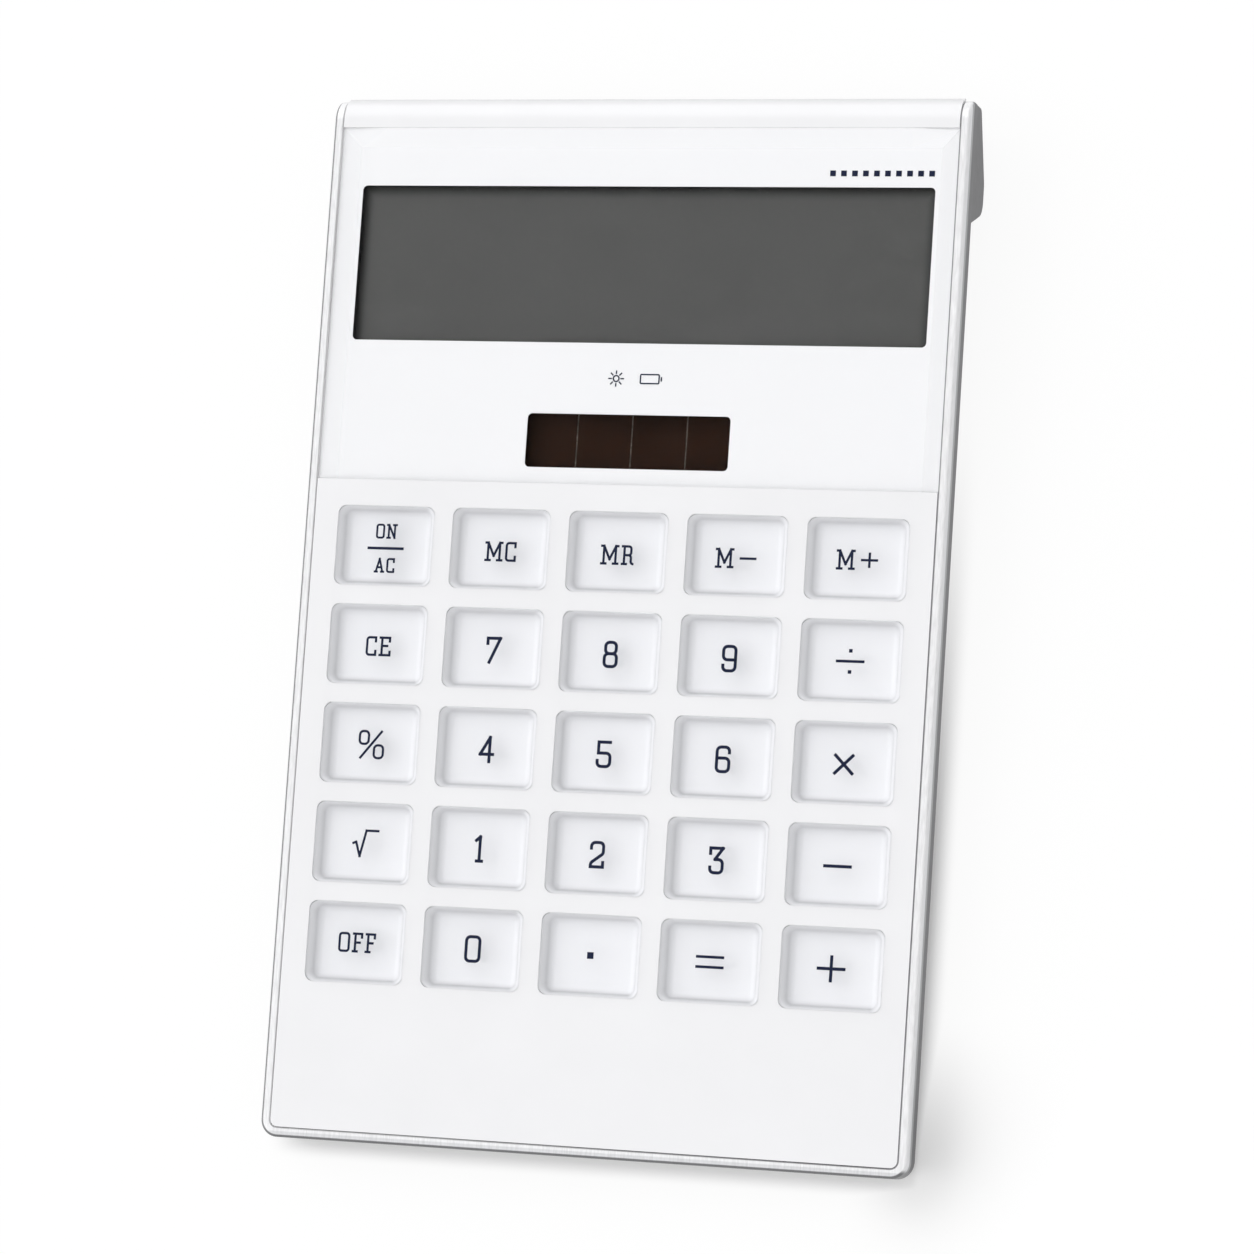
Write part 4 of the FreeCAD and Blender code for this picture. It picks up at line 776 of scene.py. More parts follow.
def stroke_tree():
    """Printed lines along the edges of a mesh, with rounded bends."""
    tree, given, close = new_tree("Printed lines", {"Stroke": "Float", "Ink": "Float", "Bend": "Float",
                                                    "Steps": "Int", "Material": "Material"})
    path = add_node(tree, "GeometryNodeMeshToCurve", {"Mesh": given["Geometry"]}).outputs["Curve"]
    bent = add_node(tree, "GeometryNodeFilletCurve", {"Curve": path, "Count": given["Steps"], "Radius": given["Bend"],
                                                      "Limit Radius": True}, mode="POLY").outputs["Curve"]
    level = add_node(tree, "GeometryNodeSetCurveNormal", {"Curve": bent}, mode="Z_UP").outputs["Curve"]
    nib = add_node(tree, "GeometryNodeCurvePrimitiveQuadrilateral", {"Width": given["Stroke"], "Height": given["Ink"]})
    line = add_node(tree, "GeometryNodeCurveToMesh", {"Curve": level, "Profile Curve": nib.outputs["Curve"],
                                                      "Fill Caps": True}).outputs["Mesh"]
    flat = add_node(tree, "GeometryNodeSetShadeSmooth", {"Geometry": line, "Shade Smooth": False})
    return close(flat.outputs["Geometry"])


def row_tree():
    """A row of equal flat bars about the middle."""
    tree, given, close = new_tree("Row of bars", {"Count": "Int", "Pitch": "Float", "Width": "Float",
                                                  "Length": "Float", "Thickness": "Float", "Material": "Material"})
    last = maths(tree, "SUBTRACT", given["Count"], 1.0)
    start = maths(tree, "MULTIPLY", maths(tree, "MULTIPLY", last, given["Pitch"]), -0.5)
    line = add_node(tree, "GeometryNodeMeshLine", {
        "Count": given["Count"],
        "Start Location": add_node(tree, "ShaderNodeCombineXYZ", {"X": start}).outputs["Vector"],
        "Offset": add_node(tree, "ShaderNodeCombineXYZ", {"X": given["Pitch"]}).outputs["Vector"]})
    bar = add_node(tree, "GeometryNodeMeshCube", {"Size": add_node(tree, "ShaderNodeCombineXYZ", {
        "X": given["Width"], "Y": given["Length"], "Z": given["Thickness"]}).outputs["Vector"]})
    return close(add_node(tree, "GeometryNodeInstanceOnPoints", {
        "Points": line.outputs["Mesh"], "Instance": bar.outputs["Mesh"]}).outputs["Instances"])


# Print: each character is a list of strokes on a box one unit high. Strokes of two points end square,
# longer ones are bent round at their inner points, and a stroke that ends where it starts is closed.
def corners(*points):
    """Sharp corners: one straight stroke for each pair of points."""
    return [[start, end] for start, end in zip(points, points[1:])]


GLYPHS = {
    "0": (0.56, [[(0, 0), (0.56, 0), (0.56, 1), (0, 1), (0, 0)]]),
    "1": (0.16, corners((0.08, 0), (0.08, 1), (-0.08, 0.85)) + corners((-0.03, 0), (0.19, 0))),
    "2": (0.50, [[(0, 0.76), (0, 1), (0.5, 1), (0.5, 0.55), (0, 0.16), (0, 0)]]
          + corners((0, 0), (0.5, 0), (0.5, 0.19))),
    "3": (0.50, corners((0, 0.78), (0, 1), (0.5, 1), (0.2, 0.55))
          + [[(0.2, 0.54), (0.5, 0.54), (0.5, 0), (0, 0), (0, 0.22)]]),
    "4": (0.52, corners((0.38, 0), (0.38, 1), (0, 0.3), (0.52, 0.3))),
    "5": (0.52, corners((0.5, 1), (0.03, 1), (0.03, 0.55))
          + [[(0.03, 0.55), (0.52, 0.55), (0.52, 0), (0, 0), (0, 0.24)]]),
    "6": (0.50, [[(0.5, 0.78), (0.5, 1), (0, 1), (0, 0), (0.5, 0), (0.5, 0.55), (0, 0.55)]]),
    "7": (0.52, corners((0, 0.78), (0, 1), (0.52, 1), (0.1, 0))),
    "8": (0.50, [[(0.03, 0.53), (0.47, 0.53), (0.47, 1), (0.03, 1), (0.03, 0.53)],
                 [(0, 0), (0.5, 0), (0.5, 0.53), (0, 0.53), (0, 0)]]),
    "9": (0.50, [[(0, 0.22), (0, 0), (0.5, 0), (0.5, 1), (0, 1), (0, 0.45), (0.5, 0.45)]]),
    "M": (0.90, corners((0.12, 0), (0.12, 1), (0.45, 0.25), (0.78, 1), (0.78, 0)) + corners((0, 0), (0.24, 0))
          + corners((0.66, 0), (0.9, 0)) + corners((0, 1), (0.12, 1)) + corners((0.78, 1), (0.9, 1))),
    "C": (0.49, [[(0.49, 1), (0, 1), (0, 0), (0.49, 0)]] + corners((0.49, 1), (0.49, 0.78))
          + corners((0.49, 0), (0.49, 0.22))),
    "R": (0.58, corners((0.1, 0), (0.1, 1)) + corners((0, 0), (0.22, 0)) + corners((0, 1), (0.14, 1))
          + [[(0.1, 1), (0.48, 1), (0.48, 0.5), (0.1, 0.5)], [(0.2, 0.5), (0.48, 0.5), (0.48, 0), (0.58, 0)]]),
    "E": (0.56, corners((0.1, 0), (0.1, 1)) + corners((0, 1), (0.54, 1), (0.54, 0.8))
          + corners((0.1, 0.53), (0.4, 0.53)) + corners((0, 0), (0.56, 0), (0.56, 0.2))),
    "F": (0.47, corners((0.1, 0), (0.1, 1)) + corners((0, 1), (0.47, 1), (0.47, 0.8)) + corners((0.1, 0.5), (0.36, 0.5))
          + corners((0, 0), (0.22, 0))),
    "O": (0.53, [[(0, 0), (0.53, 0), (0.53, 1), (0, 1), (0, 0)]]),
    "N": (0.68, corners((0.1, 0), (0.1, 1), (0.56, 0), (0.56, 1)) + corners((0, 0), (0.2, 0))
          + corners((0, 1), (0.1, 1)) + corners((0.46, 1), (0.68, 1))),
    "A": (0.66, corners((0.08, 0), (0.33, 1), (0.58, 0)) + corners((0.17, 0.34), (0.49, 0.34))
          + corners((0, 0), (0.17, 0)) + corners((0.49, 0), (0.66, 0))),
    "%": (0.80, corners((0.06, 0), (0.72, 1)) + [[(0, 0.52), (0.3, 0.52), (0.3, 1), (0, 1), (0, 0.52)],
                                                 [(0.5, 0), (0.8, 0), (0.8, 0.48), (0.5, 0.48), (0.5, 0)]]),
}
LEGENDS = {
    "key_mc": "MC", "key_mr": "MR", "key_ce": "CE", "key_off": "OFF", "key_percent": "%",
    **{f"key_{digit}": str(digit) for digit in range(10)},
}

# Clear space between two letters, as a share of their height.
LETTER_GAP = 0.14


def word_strokes(word, height, stroke, stretch):
    """Strokes of a word in metres about its own middle, and its width. The height is measured over the ink."""
    rise = height - stroke
    run = stretch * rise
    gap = LETTER_GAP * rise + stroke
    width = sum(GLYPHS[letter][0] for letter in word) * run + (len(word) - 1) * gap
    left = -width / 2
    width += stroke
    strokes = []
    for letter in word:
        advance, paths = GLYPHS[letter]
        for path in paths:
            strokes.append([(left + x * run, (y - 0.5) * rise) for x, y in path])
        left += advance * run + gap
    return strokes, width


def moved(strokes, x, y):
    return [[(px + x, py + y) for px, py in stroke] for stroke in strokes]


def bar(x0, y0, x1, y1):
    return [(x0, y0), (x1, y1)]


# The case's posts that pass through the mat, in columns and rows from the middle key.
POSTS = [(-1.5, -1.5), (1.5, -1.5), (-1.5, 1.5), (1.5, 1.5), (-0.5, -0.5), (0.5, 0.5)]

# Prints that stand a little off the place of the others, in mm to the right and away.
NUDGES = {"key_m_plus": (0.12, 0.3), "key_divide": (0.0, 0.24), "key_root": (0.22, 0.0)}

# How much wider than drawn the characters are, the rounding of their bends as a share of their height, and how much
# thinner the lines of some keys are.
DIGIT_STRETCH, WORD_STRETCH, PERCENT_STRETCH = 1.04, 1.06, 1.2
DIGIT_BEND, WORD_BEND = 0.15, 0.13
THIN_LINES = {"key_equals": 0.87, "key_divide": 0.87, "key_on_ac": 0.86}

# Square dots: their size in line widths, and how far each stands from the print's middle in lengths of a sign.
DOTS = {"key_point": (2.1, [0.0]), "key_divide": (1.3, [0.36, -0.36])}


def legend_strokes(key, sizes):
    """Strokes of the print on one key, in metres about its middle, their line width and the radius of their bends."""
    thin = sizes.word_stroke * THIN_LINES.get(key, 1)
    stroke = sizes.stroke * THIN_LINES.get(key, 1)
    half = sizes.sign / 2 - stroke / 2
    if key in LEGENDS:
        word = LEGENDS[key]
        if word.isdigit():
            return word_strokes(word, sizes.digit, stroke, DIGIT_STRETCH)[0], stroke, DIGIT_BEND * sizes.digit
        height, stretch = (sizes.percent, PERCENT_STRETCH) if word == "%" else (sizes.word, WORD_STRETCH)
        return word_strokes(word, height, thin, stretch)[0], thin, WORD_BEND * height
    if key == "key_on_ac":
        upper, _ = word_strokes("ON", sizes.small, thin, WORD_STRETCH)
        lower, _ = word_strokes("AC", sizes.small, thin, WORD_STRETCH)
        apart = 1.14 * sizes.small
        line = 1.28 * sizes.small - thin / 2
        rule = [bar(-line, side * thin, line, side * thin) for side in (0.16, -0.16)]
        return moved(upper, 0, apart) + moved(lower, 0, -apart) + rule, thin, WORD_BEND * sizes.small
    if key in ("key_m_minus", "key_m_plus"):
        letter, width = word_strokes("M", sizes.word, thin, WORD_STRETCH)
        sign = 0.6 * sizes.sign
        left = -(width + 0.2 * sizes.sign + sign) / 2
        strokes = moved(letter, left + width / 2, 0)
        middle = -left - sign / 2
        reach = sign / 2 - thin / 2
        strokes.append(bar(middle - reach, 0, middle + reach, 0))
        if key == "key_m_plus":
            strokes.append(bar(middle, -0.86 * reach, middle, 0.86 * reach))
        return strokes, thin, 0
    if key == "key_root":
        return corners((-half, 0), (-0.78 * half, 0.1 * half), (-0.42 * half, -half), (0.02 * half, half),
                       (half, half)), thin, 0
    x = 0.68 * half
    signs = {
        "key_times": [bar(-x, -x, x, x), bar(-x, x, x, -x)],
        "key_minus": [bar(-half, 0, half, 0)],
        "key_plus": [bar(-half, 0, half, 0), bar(0, -0.9 * half, 0, 0.9 * half)],
        "key_equals": [bar(-half, side * half, half, side * half) for side in (0.38, -0.38)],
        "key_divide": [bar(-half, 0, half, 0)],
        "key_point": [],
    }
    return signs[key], stroke, 0


def path_mesh(name, strokes, stroke):
    """Edges along the strokes. Open ends are drawn on by half a line's width, and each stroke lies a hair higher."""
    spots = []
    edges = []
    for number, path in enumerate(strokes):
        points = [Vector((x, y, number * 1e-6)) for x, y in path]
        closed = (points[0] - points[-1]).length < 1e-9
        if closed:
            points.pop()
        else:
            ends = ((0, 1), (-1, -2))
            grown = [points[end] + (points[end] - points[inner]).normalized() * stroke / 2 for end, inner in ends]
            points[0], points[-1] = grown
        first = len(spots)
        spots += points
        edges += [(first + step, first + step + 1) for step in range(len(points) - 1)]
        if closed:
            edges.append((first + len(points) - 1, first))
    mesh = bpy.data.meshes.new(name)
    mesh.from_pydata(spots, edges, [])
    return mesh


def key_place(key):
    """Where the middle of a key's top face is, turned with the case."""
    low, high = case_box(key)
    return TURN @ Matrix.Translation(((low.x + high.x) / 2, (low.y + high.y) / 2, high.z))


def print_place(key, sizes):
    """Where the middle of a key's print is, turned with the case."""
    low, high = case_box(key)
    across, along = sizes.draw_in
    x = (low.x + high.x) / 2
    y = (low.y + high.y) / 2
    right, up = NUDGES.get(key, (0.0, 0.0))
    return TURN @ Matrix.Translation((x + sizes.aside + right * MM - across * (x - FACE.x),
                                      y - sizes.below + up * MM - along * (y - FACE.y), high.z))


# Studio: the ways to the soft light at the upper left and to the dark card, with the angles from them, in degrees,
# where each one ends and where it is full.
SOFT_LIGHT = ((-0.64, 0.30, 0.70), 60, 15)
DARK_CARD = ((-0.30, 0.14, 0.94), 20, 11)

# Where the camera looks and what is up in its picture, in the case's own directions.
CAMERA_AHEAD = Vector((-0.3037, 0.1047, -0.9470))
CAMERA_UP = Vector((-0.0318, 0.9923, 0.1199))

FLOOR_HALF = 3.0
FLOOR_DROP = 0.05 * MM


def towards(tree, direction, edge, middle):
    """1 near a direction, fading to 0 between two angles from it."""
    way = add_node(tree, "ShaderNodeTexCoord").outputs["Generated"]
    cosine = add_node(tree, "ShaderNodeVectorMath", {0: way, 1: Vector(direction).normalized()},
                      operation="DOT_PRODUCT").outputs["Value"]
    return between(tree, cosine, math.cos(math.radians(edge)), math.cos(math.radians(middle)))


def studio_light(looks):
    """White surroundings with a wide soft light at the upper left and a dark card above the face."""
    world = bpy.data.worlds.new("studio")
    world.use_nodes = True
    tree = world.node_tree
    soft = maths(tree, "MULTIPLY", towards(tree, *SOFT_LIGHT), looks.key_light)
    card = maths(tree, "MULTIPLY", towards(tree, *DARK_CARD), looks.card)
    light = maths(tree, "MULTIPLY", maths(tree, "ADD", soft, looks.sky), maths(tree, "SUBTRACT", 1.0, card))
    back = tree.nodes["Background"]
    back.inputs["Color"].default_value = (1, 1, 1, 1)
    tree.links.new(light, back.inputs["Strength"])
    return world


# Operators
class CALCULATOR_OT_case(bpy.types.Operator):
    """Finishes the white face, the silver frame, the grey back, the battery door, the feet and the case screws"""
    bl_idname = "calculator.case"
    bl_label = "Case"

    def execute(self, context):
        looks = context.scene.calculator_case
        # The face's white carries painted shade where it turns down at its far end.
        white = face_plastic("white_plastic", looks.white, looks.far_shade)
        # The frame's silver carries painted light and shade.
        silver = frame_paint("silver_paint_with_shade", looks)
        grey = back_paint("back_paint", looks.back)
        rubber = moulded("foot_rubber", looks.foot, (0.7, 0.85), grain=2600, spread=0.08, bump=0.00001)
        steel = metal("screw_steel", (0.5, 0.5, 0.51))
        smooth_copy("front_cover", "face_moulding", white, "case")
        smooth_copy("side_frame", "silver_frame", silver, "case")
        smooth_copy("rear_cover", "back_moulding", grey, "case")
        smooth_copy("battery_door", "sliding_door", grey, "battery_door")
        smooth_copy("front_feet", "round_feet", rubber, "case")
        smooth_copy("rear_feet", "strip_feet", rubber, "case")
        smooth_copy("case_screws", "back_screws", steel, "case")
        return {"FINISHED"}


def panel_edge(low, high, end_top, width, run):
    """A white slope that rises from the panel's print to its left, far and right edges, higher along the far one."""
    spots = []
    for x, y, inward_x, inward_y, top in (
            (low.x, low.y, width, 0, end_top), (low.x, high.y, width, -width, end_top),
            (low.x + run, high.y, 0, -width, high.z), (high.x - run, high.y, 0, -width, high.z),
            (high.x, high.y, -width, -width, end_top), (high.x, low.y, -width, 0, end_top)):
        spots += [(x + inward_x, y + inward_y, low.z), (x, y, top), (x, y, low.z)]
    last = len(spots) - 3
    faces = [(0, 1, 2), (last, last + 1, last + 2)]
    for first in range(0, last, 3):
        for here, there in ((0, 1), (1, 2), (2, 0)):
            faces.append((first + here, first + there, first + 3 + there, first + 3 + here))
    mesh = bpy.data.meshes.new("panel_edge")
    mesh.from_pydata(spots, [], faces)
    shape = bmesh.new()
    shape.from_mesh(mesh)
    bmesh.ops.recalc_face_normals(shape, faces=shape.faces)
    shape.to_mesh(mesh)
    shape.free()
    return mesh


class CALCULATOR_OT_display(bpy.types.Operator):
    """Finishes the clear panel, its white print and the blank display behind it"""
    bl_idname = "calculator.display"
    bl_label = "Display"

    def execute(self, context):
        looks = context.scene.calculator_display
        smooth_copy("display_lens", "clear_panel", clear("panel_acrylic", looks.panel), "case")
        # The print's white carries painted light and shade on its slopes.
        white = sloped_print("panel_white", looks.mask, looks.slope_light)
        smooth_copy("window_mask", "panel_print", white, "case", lift=PRINT_LIFT)
        low, high = case_box("window_mask")
        low.x, low.z = -looks.edge_reach.x, high.z
        top = case_box("display_lens")[1].z
        high = Vector((looks.edge_reach.x, looks.edge_reach.y, top - looks.far_drop))
        edge = panel_edge(low, high, top - looks.side_drop, looks.edge_width, looks.far_run)
        edge.materials.append(white)
        settle(edge, "panel_edge", TURN, "case")
        # The display carries the painted shade of the window's edge.
        film = display_finish("display_film", looks.film, "lcd_front_polariser", looks.shade_depth, looks.shade_sides,
                              looks.shade_dim)
        finish_node("lcd_front_polariser", film)
        return {"FINISHED"}


class CALCULATOR_OT_solar(bpy.types.Operator):
    """Builds the solar strips and the conductor lines between them"""
    bl_idname = "calculator.solar"
    bl_label = "Solar cell"

    def execute(self, context):
        looks = context.scene.calculator_display
        low, high = case_box("solar_strips")
        tree = row_tree()
        thick = high.z - low.z
        middle = (low + high) / 2 + Vector((0, 0, PRINT_LIFT))
        film = moulded("solar_film", looks.strip, (0.3, 0.4), grain=2500, spread=0.1, bump=0.0000005, shine=0.1)
        strips = grow(tree, "strips", {"Count": looks.strips, "Pitch": looks.strip_pitch, "Length": high.y - low.y,
                                       "Width": looks.strip_pitch - looks.strip_gap, "Thickness": thick,
                                       "Material": film})
        piece = settle(strips, "solar_film", TURN @ Matrix.Translation(middle), "case")
        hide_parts("solar_strips")
        lines = grow(tree, "lines", {"Count": looks.strips - 1, "Pitch": looks.strip_pitch, "Length": high.y - low.y,
                                     "Width": looks.strip_gap * looks.line_share, "Thickness": thick / 2,
                                     "Material": metal("conductor", looks.conductor)})
        below = Vector((0, 0, thick / 4))
        settle(lines, "solar_conductors", TURN @ Matrix.Translation(middle - below), "case")
        return {"FINISHED"}


class CALCULATOR_OT_keys(bpy.types.Operator):
    """Builds the clear block and the white tray of every key"""
    bl_idname = "calculator.keys"
    bl_label = "Keys"

    def execute(self, context):
        sizes = context.scene.calculator_keys
        acrylic = clear("key_acrylic", sizes.clear)
        # The tray's white carries painted shade on its walls.
        white = tray_plastic("key_tray", sizes.white, sizes.wall, sizes.lean)
        tree = block_tree()
        block_height = sizes.height - sizes.flange_height
        cap = grow(tree, "cap", {"Width": sizes.width, "Length": sizes.length, "Height": block_height,
                                 "Corner": sizes.corner, "Steps": CORNER_STEPS, "Material": acrylic},
                   modifiers=[("BEVEL", {"width": sizes.edge, "segments": 4, "limit_method": "ANGLE",
                                         "angle_limit": math.radians(60), "harden_normals": True})])
        foot = grow(tree, "foot", {"Width": sizes.width + 2 * sizes.flange, "Length": sizes.length + 2 * sizes.flange,
                                   "Height": sizes.flange_height, "Corner": sizes.corner + sizes.flange,
                                   "Steps": CORNER_STEPS, "Material": white})
        rim_width = sizes.width - 2 * sizes.rim
        rim_length = sizes.length - 2 * sizes.rim
        dish = grow(tray_tree(), "dish", {"Rim Width": rim_width, "Rim Length": rim_length,
                                          "Floor Width": rim_width - 2 * sizes.slope_x,
                                          "Floor Length": rim_length - 2 * sizes.slope_y,
                                          "Depth": block_height - sizes.rim_drop - sizes.tray_gap,
                                          "Corner": sizes.corner, "Steps": CORNER_STEPS, "Material": white},
                    modifiers=[("BEVEL", {"width": sizes.bend, "segments": 8, "limit_method": "ANGLE",
                                          "angle_limit": math.radians(35), "use_clamp_overlap": True}),
                               ("SOLIDIFY", {"thickness": sizes.tray_wall, "offset": -1.0})])
        for key in KEYS:
            place = key_place(key) @ Matrix.Translation((0, 0, -block_height))
            block = settle(cap, f"{key}_clear", place, key)
            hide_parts(key)
            settle(dish, f"{key}_tray", place @ Matrix.Translation((0, 0, sizes.tray_gap)), key)
            settle(foot, f"{key}_flange", place @ Matrix.Translation((0, 0, -sizes.flange_height)), key)
        return {"FINISHED"}


class CALCULATOR_OT_mat(bpy.types.Operator):
    """Builds the rubber mat with a dome under every key, and the carbon pills"""
    bl_idname = "calculator.mat"
    bl_label = "Mat"

    def execute(self, context):
        sizes = context.scene.calculator_mat
        rubber = moulded("mat_rubber", sizes.rubber, (0.6, 0.75), grain=2600, spread=0.03, bump=0.000004)
        carbon = moulded("pill_carbon", (0.02, 0.02, 0.02), (0.7, 0.85), grain=2600, spread=0.1)
        low, high = case_box("keypad_mat")
        level = low.z + sizes.thickness
        middle = (low + high) / 2
        spots = {key: sum(case_box(key), Vector()) / 2 for key in KEYS}
        pitch_x = spots["key_6"].x - spots["key_5"].x
        pitch_y = spots["key_8"].y - spots["key_5"].y
        posts = [spots["key_5"] + Vector((column * pitch_x, row * pitch_y, 0)) for column, row in POSTS]
        holes = bpy.data.meshes.new("holes")
        holes.from_pydata([(spot.x - middle.x, spot.y - middle.y, 0) for spot in [*spots.values(), *posts]], [], [])
        sheet = grow(sheet_tree(), "sheet", {"Width": high.x - low.x, "Length": high.y - low.y,
                                             "Height": sizes.thickness, "Corner": sizes.base / 2, "Hole": sizes.hole,
                                             "Steps": BEND_STEPS, "Material": rubber}, holes)
        piece = settle(sheet, "mat_sheet", TURN @ Matrix.Translation((middle.x, middle.y, low.z)), "case")
        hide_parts("keypad_mat")
        dome = grow(dome_tree(), "dome", {"Base": sizes.base, "Top": sizes.top, "Height": sizes.height,
                                          "Material": rubber},
                    modifiers=[("SOLIDIFY", {"thickness": sizes.wall, "offset": -1.0, "use_even_offset": True})])
        pill_low, pill_high = case_box("carbon_pills")
        pill_low.z += sizes.pill_gap
        # A hair less than half the width keeps the four corners apart.
        pill = grow(block_tree(), "pill", {"Width": 2 * sizes.pill, "Length": 2 * sizes.pill,
                                           "Corner": 0.999 * sizes.pill, "Height": pill_high.z - pill_low.z,
                                           "Steps": CORNER_STEPS, "Material": carbon})
        for key, spot in spots.items():
            copy = dome.copy()
            copy.transform(TURN @ Matrix.Translation((spot.x, spot.y, level)))
            soft = add_piece(f"{key}_dome", copy)
            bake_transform(soft)
            piece = settle(pill, f"{key}_pill", TURN @ Matrix.Translation((spot.x, spot.y, pill_low.z)), key)
            if key == "key_5":
                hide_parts("carbon_pills")
        return {"FINISHED"}


class CALCULATOR_OT_print(bpy.types.Operator):
    """Prints the digits, words and signs on the keys"""
    bl_idname = "calculator.print"
    bl_label = "Key print"

    def execute(self, context):
        sizes = context.scene.calculator_print
        navy = moulded("navy_ink", sizes.navy, (0.4, 0.5), grain=3000, spread=0.05, bump=0.0000005, shine=0.2)
        lines = stroke_tree()
        dots = row_tree()
        for key in KEYS:
            strokes, stroke, bend = legend_strokes(key, sizes)
            place = print_place(key, sizes)
            if strokes:
                edges = path_mesh("strokes", strokes, stroke)
                mesh = grow(lines, "print", {"Stroke": stroke, "Ink": sizes.ink, "Bend": bend, "Steps": BEND_STEPS,
                                             "Material": navy}, edges)
                settle(mesh, f"{key}_print", place, key)
            if key in DOTS:
                width, spots = DOTS[key]
                dot = stroke * width
                mesh = grow(dots, "dots", {"Count": 1, "Pitch": 0.0, "Width": dot, "Length": dot,
                                           "Thickness": sizes.ink, "Material": navy})
                for number, share in enumerate(spots, 1):
                    spot = Matrix.Translation((0, share * sizes.sign, 0))
                    settle(mesh, f"{key}_dot_{number}", place @ spot, key)
        return {"FINISHED"}


class CALCULATOR_OT_signs(bpy.types.Operator):
    """Prints a small sun, a battery and a row of squares under the clear panel"""
    bl_idname = "calculator.signs"
    bl_label = "Panel signs"

    def execute(self, context):
        sizes = context.scene.calculator_signs
        ink = context.scene.calculator_print.ink
        navy = bpy.data.materials["navy_ink"]
        level = case_box("display_lens")[0].z + sizes.depth

        def around(radius, turn):
            return radius * math.cos(turn), radius * math.sin(turn)

        turns = [math.tau * step / sizes.rays for step in range(sizes.rays)]
        rays = [[around(sizes.ray_start, turn), around(sizes.ray_end, turn)] for turn in turns]
        ring = [around(sizes.sun, math.tau * step / RING_STEPS) for step in range(RING_STEPS + 1)]
        x, y = sizes.battery
        pole_x, pole_y = sizes.pole
        battery = [[(-x, -y), (x, -y), (x, y), (-x, y), (-x, -y)], bar(pole_x, -pole_y, pole_x, pole_y)]
        strokes = moved([*rays, ring], -sizes.sun_left, 0) + moved(battery, sizes.battery_right, 0)
        edges = path_mesh("strokes", strokes, sizes.stroke)
        mesh = grow(stroke_tree(), "signs", {"Stroke": sizes.stroke, "Ink": ink, "Bend": sizes.bend,
                                             "Steps": BEND_STEPS // 2, "Material": navy}, edges)
        place = Vector((FACE.x + sizes.place.x, FACE.y + sizes.place.y, level))
        settle(mesh, "power_signs", TURN @ Matrix.Translation(place), "case")
        squares = grow(row_tree(), "squares", {"Count": sizes.squares, "Pitch": sizes.square_pitch,
                                               "Width": sizes.square, "Length": sizes.square, "Thickness": ink,
                                               "Material": navy})
        place = Vector((FACE.x + sizes.row_place.x, FACE.y + sizes.row_place.y, level))
        settle(squares, "panel_squares", TURN @ Matrix.Translation(place), "case")
        return {"FINISHED"}


class CALCULATOR_OT_inside(bpy.types.Operator):
    """Finishes the pieces inside the case"""
    bl_idname = "calculator.inside"
    bl_label = "Inside"

    def execute(self, context):
        finishes = {
            clear("display_glass", (0.86, 0.9, 0.88), (0.0, 0.03), 1.52): ["lcd_front_glass", "lcd_rear_glass"],
            clear("solar_glass", (0.9, 0.88, 0.86), (0.0, 0.03)): ["solar_glass"],
            metal("reflector_film", (0.6, 0.61, 0.58), (0.4, 0.5)): ["lcd_reflector"],
            moulded("inner_plastic", (0.03, 0.03, 0.033), (0.5, 0.62)): ["lcd_holder"],
            moulded("gasket_foam", (0.012, 0.012, 0.013), (0.8, 0.9)): ["display_gasket"],
            moulded("ribbon_film", (0.55, 0.3, 0.06), (0.3, 0.4), 2000, 0.06): ["display_ribbon"],
            moulded("red_wire", (0.5, 0.02, 0.02), (0.4, 0.5), 3000, 0.05): ["battery_wire_red", "solar_wire_red"],
            moulded("black_wire", (0.02, 0.02, 0.02), (0.4, 0.5), 3000, 0.05): ["battery_wire_black",
                                                                                "solar_wire_black"],
            moulded("carbon", (0.02, 0.02, 0.02), (0.7, 0.85), 2600, 0.1): ["board_contacts"],
            board_finish("circuit_board"): ["main_board"],
            moulded("chip_resin", (0.015, 0.015, 0.016), (0.35, 0.45), 1800, 0.1): ["chip_cover"],
            metal("board_screw_steel", (0.5, 0.5, 0.51)): ["board_screws"],
            metal("cell_steel", (0.62, 0.61, 0.58), (0.22, 0.32)): ["cell_can", "cell_cap"],
            moulded("gasket", (0.4, 0.4, 0.4), (0.5, 0.6)): ["cell_gasket"],
            metal("contact_steel", (0.55, 0.53, 0.5)): ["contact_negative", "contact_positive"],
        }
        for material, nodes in finishes.items():
            for node in nodes:
                finish_node(node, material)
        return {"FINISHED"}


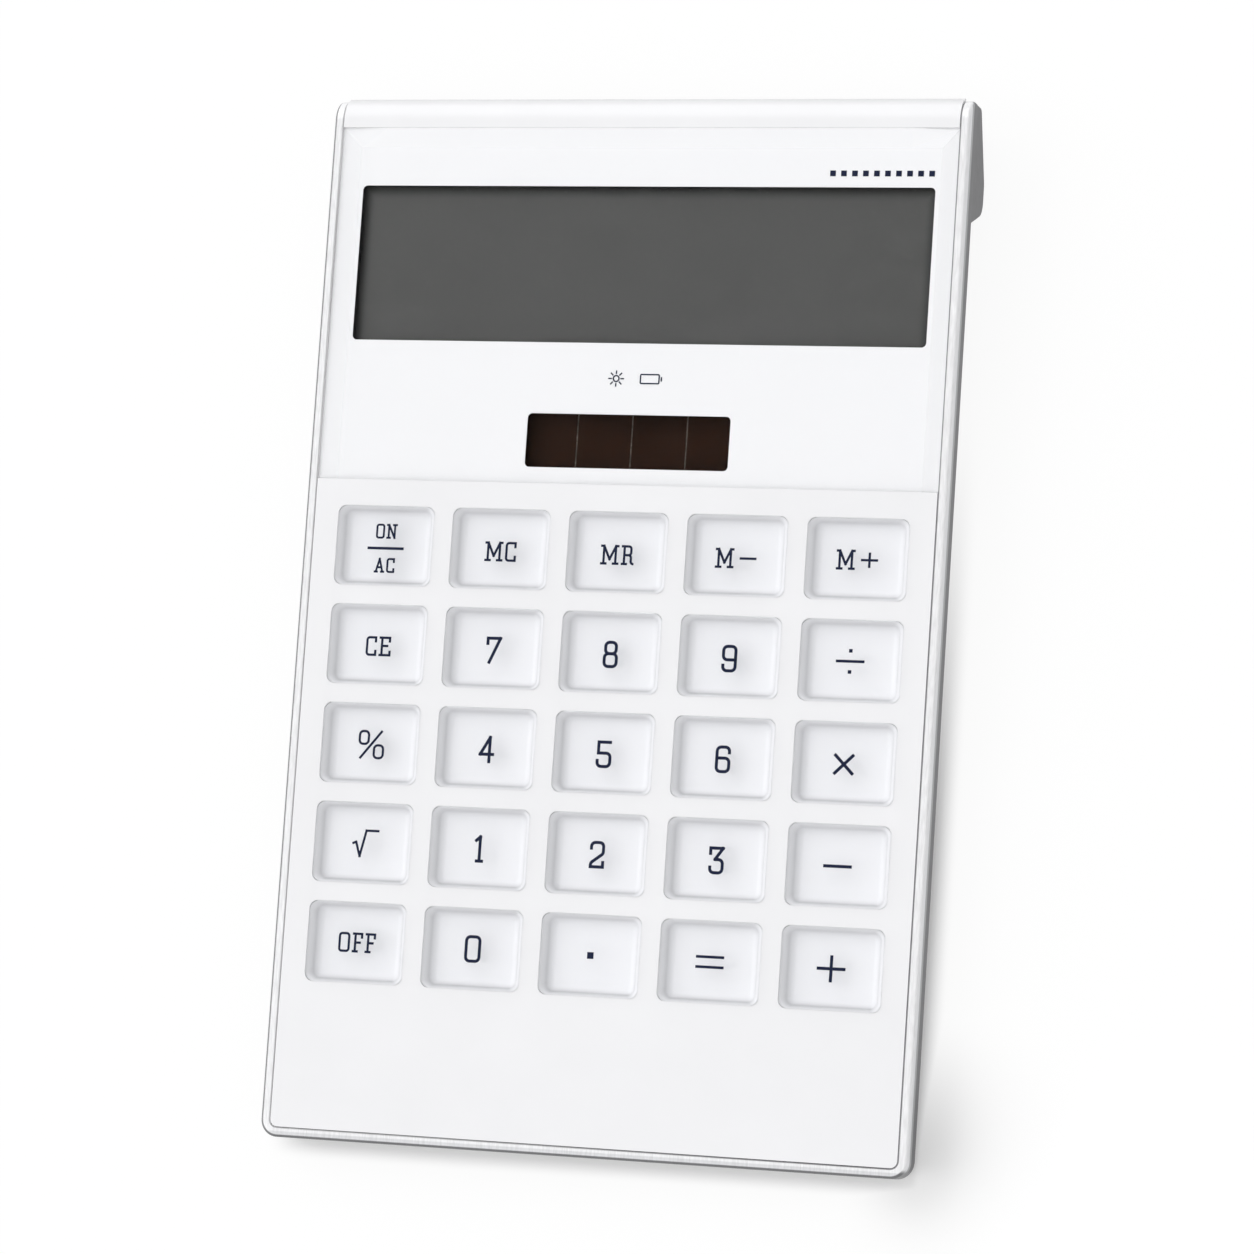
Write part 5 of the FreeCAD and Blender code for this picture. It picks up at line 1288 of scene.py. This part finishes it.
class CALCULATOR_OT_stage(bpy.types.Operator):
    """Sets the floor, the soft light all round and the camera"""
    bl_idname = "calculator.stage"
    bl_label = "Stage"

    def execute(self, context):
        scene = context.scene
        looks = scene.calculator_stage
        scene.view_settings.view_transform = "Standard"

        mesh = bpy.data.meshes.new("floor")
        sides = ((-1, -1), (1, -1), (1, 1), (-1, 1))
        mesh.from_pydata([(x * FLOOR_HALF, y * FLOOR_HALF, -FLOOR_DROP) for x, y in sides], [], [(0, 1, 2, 3)])
        mesh.materials.append(lit_paper("floor_paper", looks))
        floor = add_piece("floor", mesh)

        scene.world = studio_light(looks)

        ahead = TURN.to_3x3() @ CAMERA_AHEAD.normalized()
        up = TURN.to_3x3() @ CAMERA_UP.normalized()
        right = ahead.cross(up).normalized()
        up = right.cross(ahead)
        spot = TURN @ (FACE + Vector((looks.camera_right, -looks.camera_near, looks.camera_height)))
        data = bpy.data.cameras.new("camera")
        data.lens = looks.focal
        data.sensor_width = 36
        camera = bpy.data.objects.new("camera", data)
        camera.matrix_world = Matrix((
            (right.x, up.x, -ahead.x, spot.x),
            (right.y, up.y, -ahead.y, spot.y),
            (right.z, up.z, -ahead.z, spot.z),
            (0, 0, 0, 1)))
        scene.collection.objects.link(camera)
        scene.camera = camera
        return {"FINISHED"}


OPERATORS = [CALCULATOR_OT_case, CALCULATOR_OT_display, CALCULATOR_OT_solar, CALCULATOR_OT_keys, CALCULATOR_OT_mat,
             CALCULATOR_OT_print, CALCULATOR_OT_signs, CALCULATOR_OT_inside, CALCULATOR_OT_stage]


class CALCULATOR_PT_looks(bpy.types.Panel):
    """Lists the sizes, the colours and the steps of the calculator"""
    bl_idname = "CALCULATOR_PT_looks"
    bl_label = "Desk calculator"
    bl_space_type = "VIEW_3D"
    bl_region_type = "UI"
    bl_category = "Calculator"

    def draw(self, context):
        for group, kind in GROUPS.items():
            column = self.layout.column()
            for name in kind.__annotations__:
                column.prop(getattr(context.scene, group), name)
        for operator in OPERATORS:
            self.layout.operator(operator.bl_idname)


CLASSES = [*GROUPS.values(), *OPERATORS, CALCULATOR_PT_looks]


def register():
    for kind in CLASSES:
        bpy.utils.register_class(kind)
    for group, kind in GROUPS.items():
        setattr(bpy.types.Scene, group, bpy.props.PointerProperty(type=kind))


def unregister():
    for group in GROUPS:
        delattr(bpy.types.Scene, group)
    for kind in reversed(CLASSES):
        bpy.utils.unregister_class(kind)


def main():
    register()
    bpy.ops.calculator.case()
    bpy.ops.calculator.display()
    bpy.ops.calculator.solar()
    bpy.ops.calculator.keys()
    bpy.ops.calculator.mat()
    bpy.ops.calculator.print()
    bpy.ops.calculator.signs()
    bpy.ops.calculator.inside()
    bpy.ops.calculator.stage()


if __name__ == "__main__":
    main()
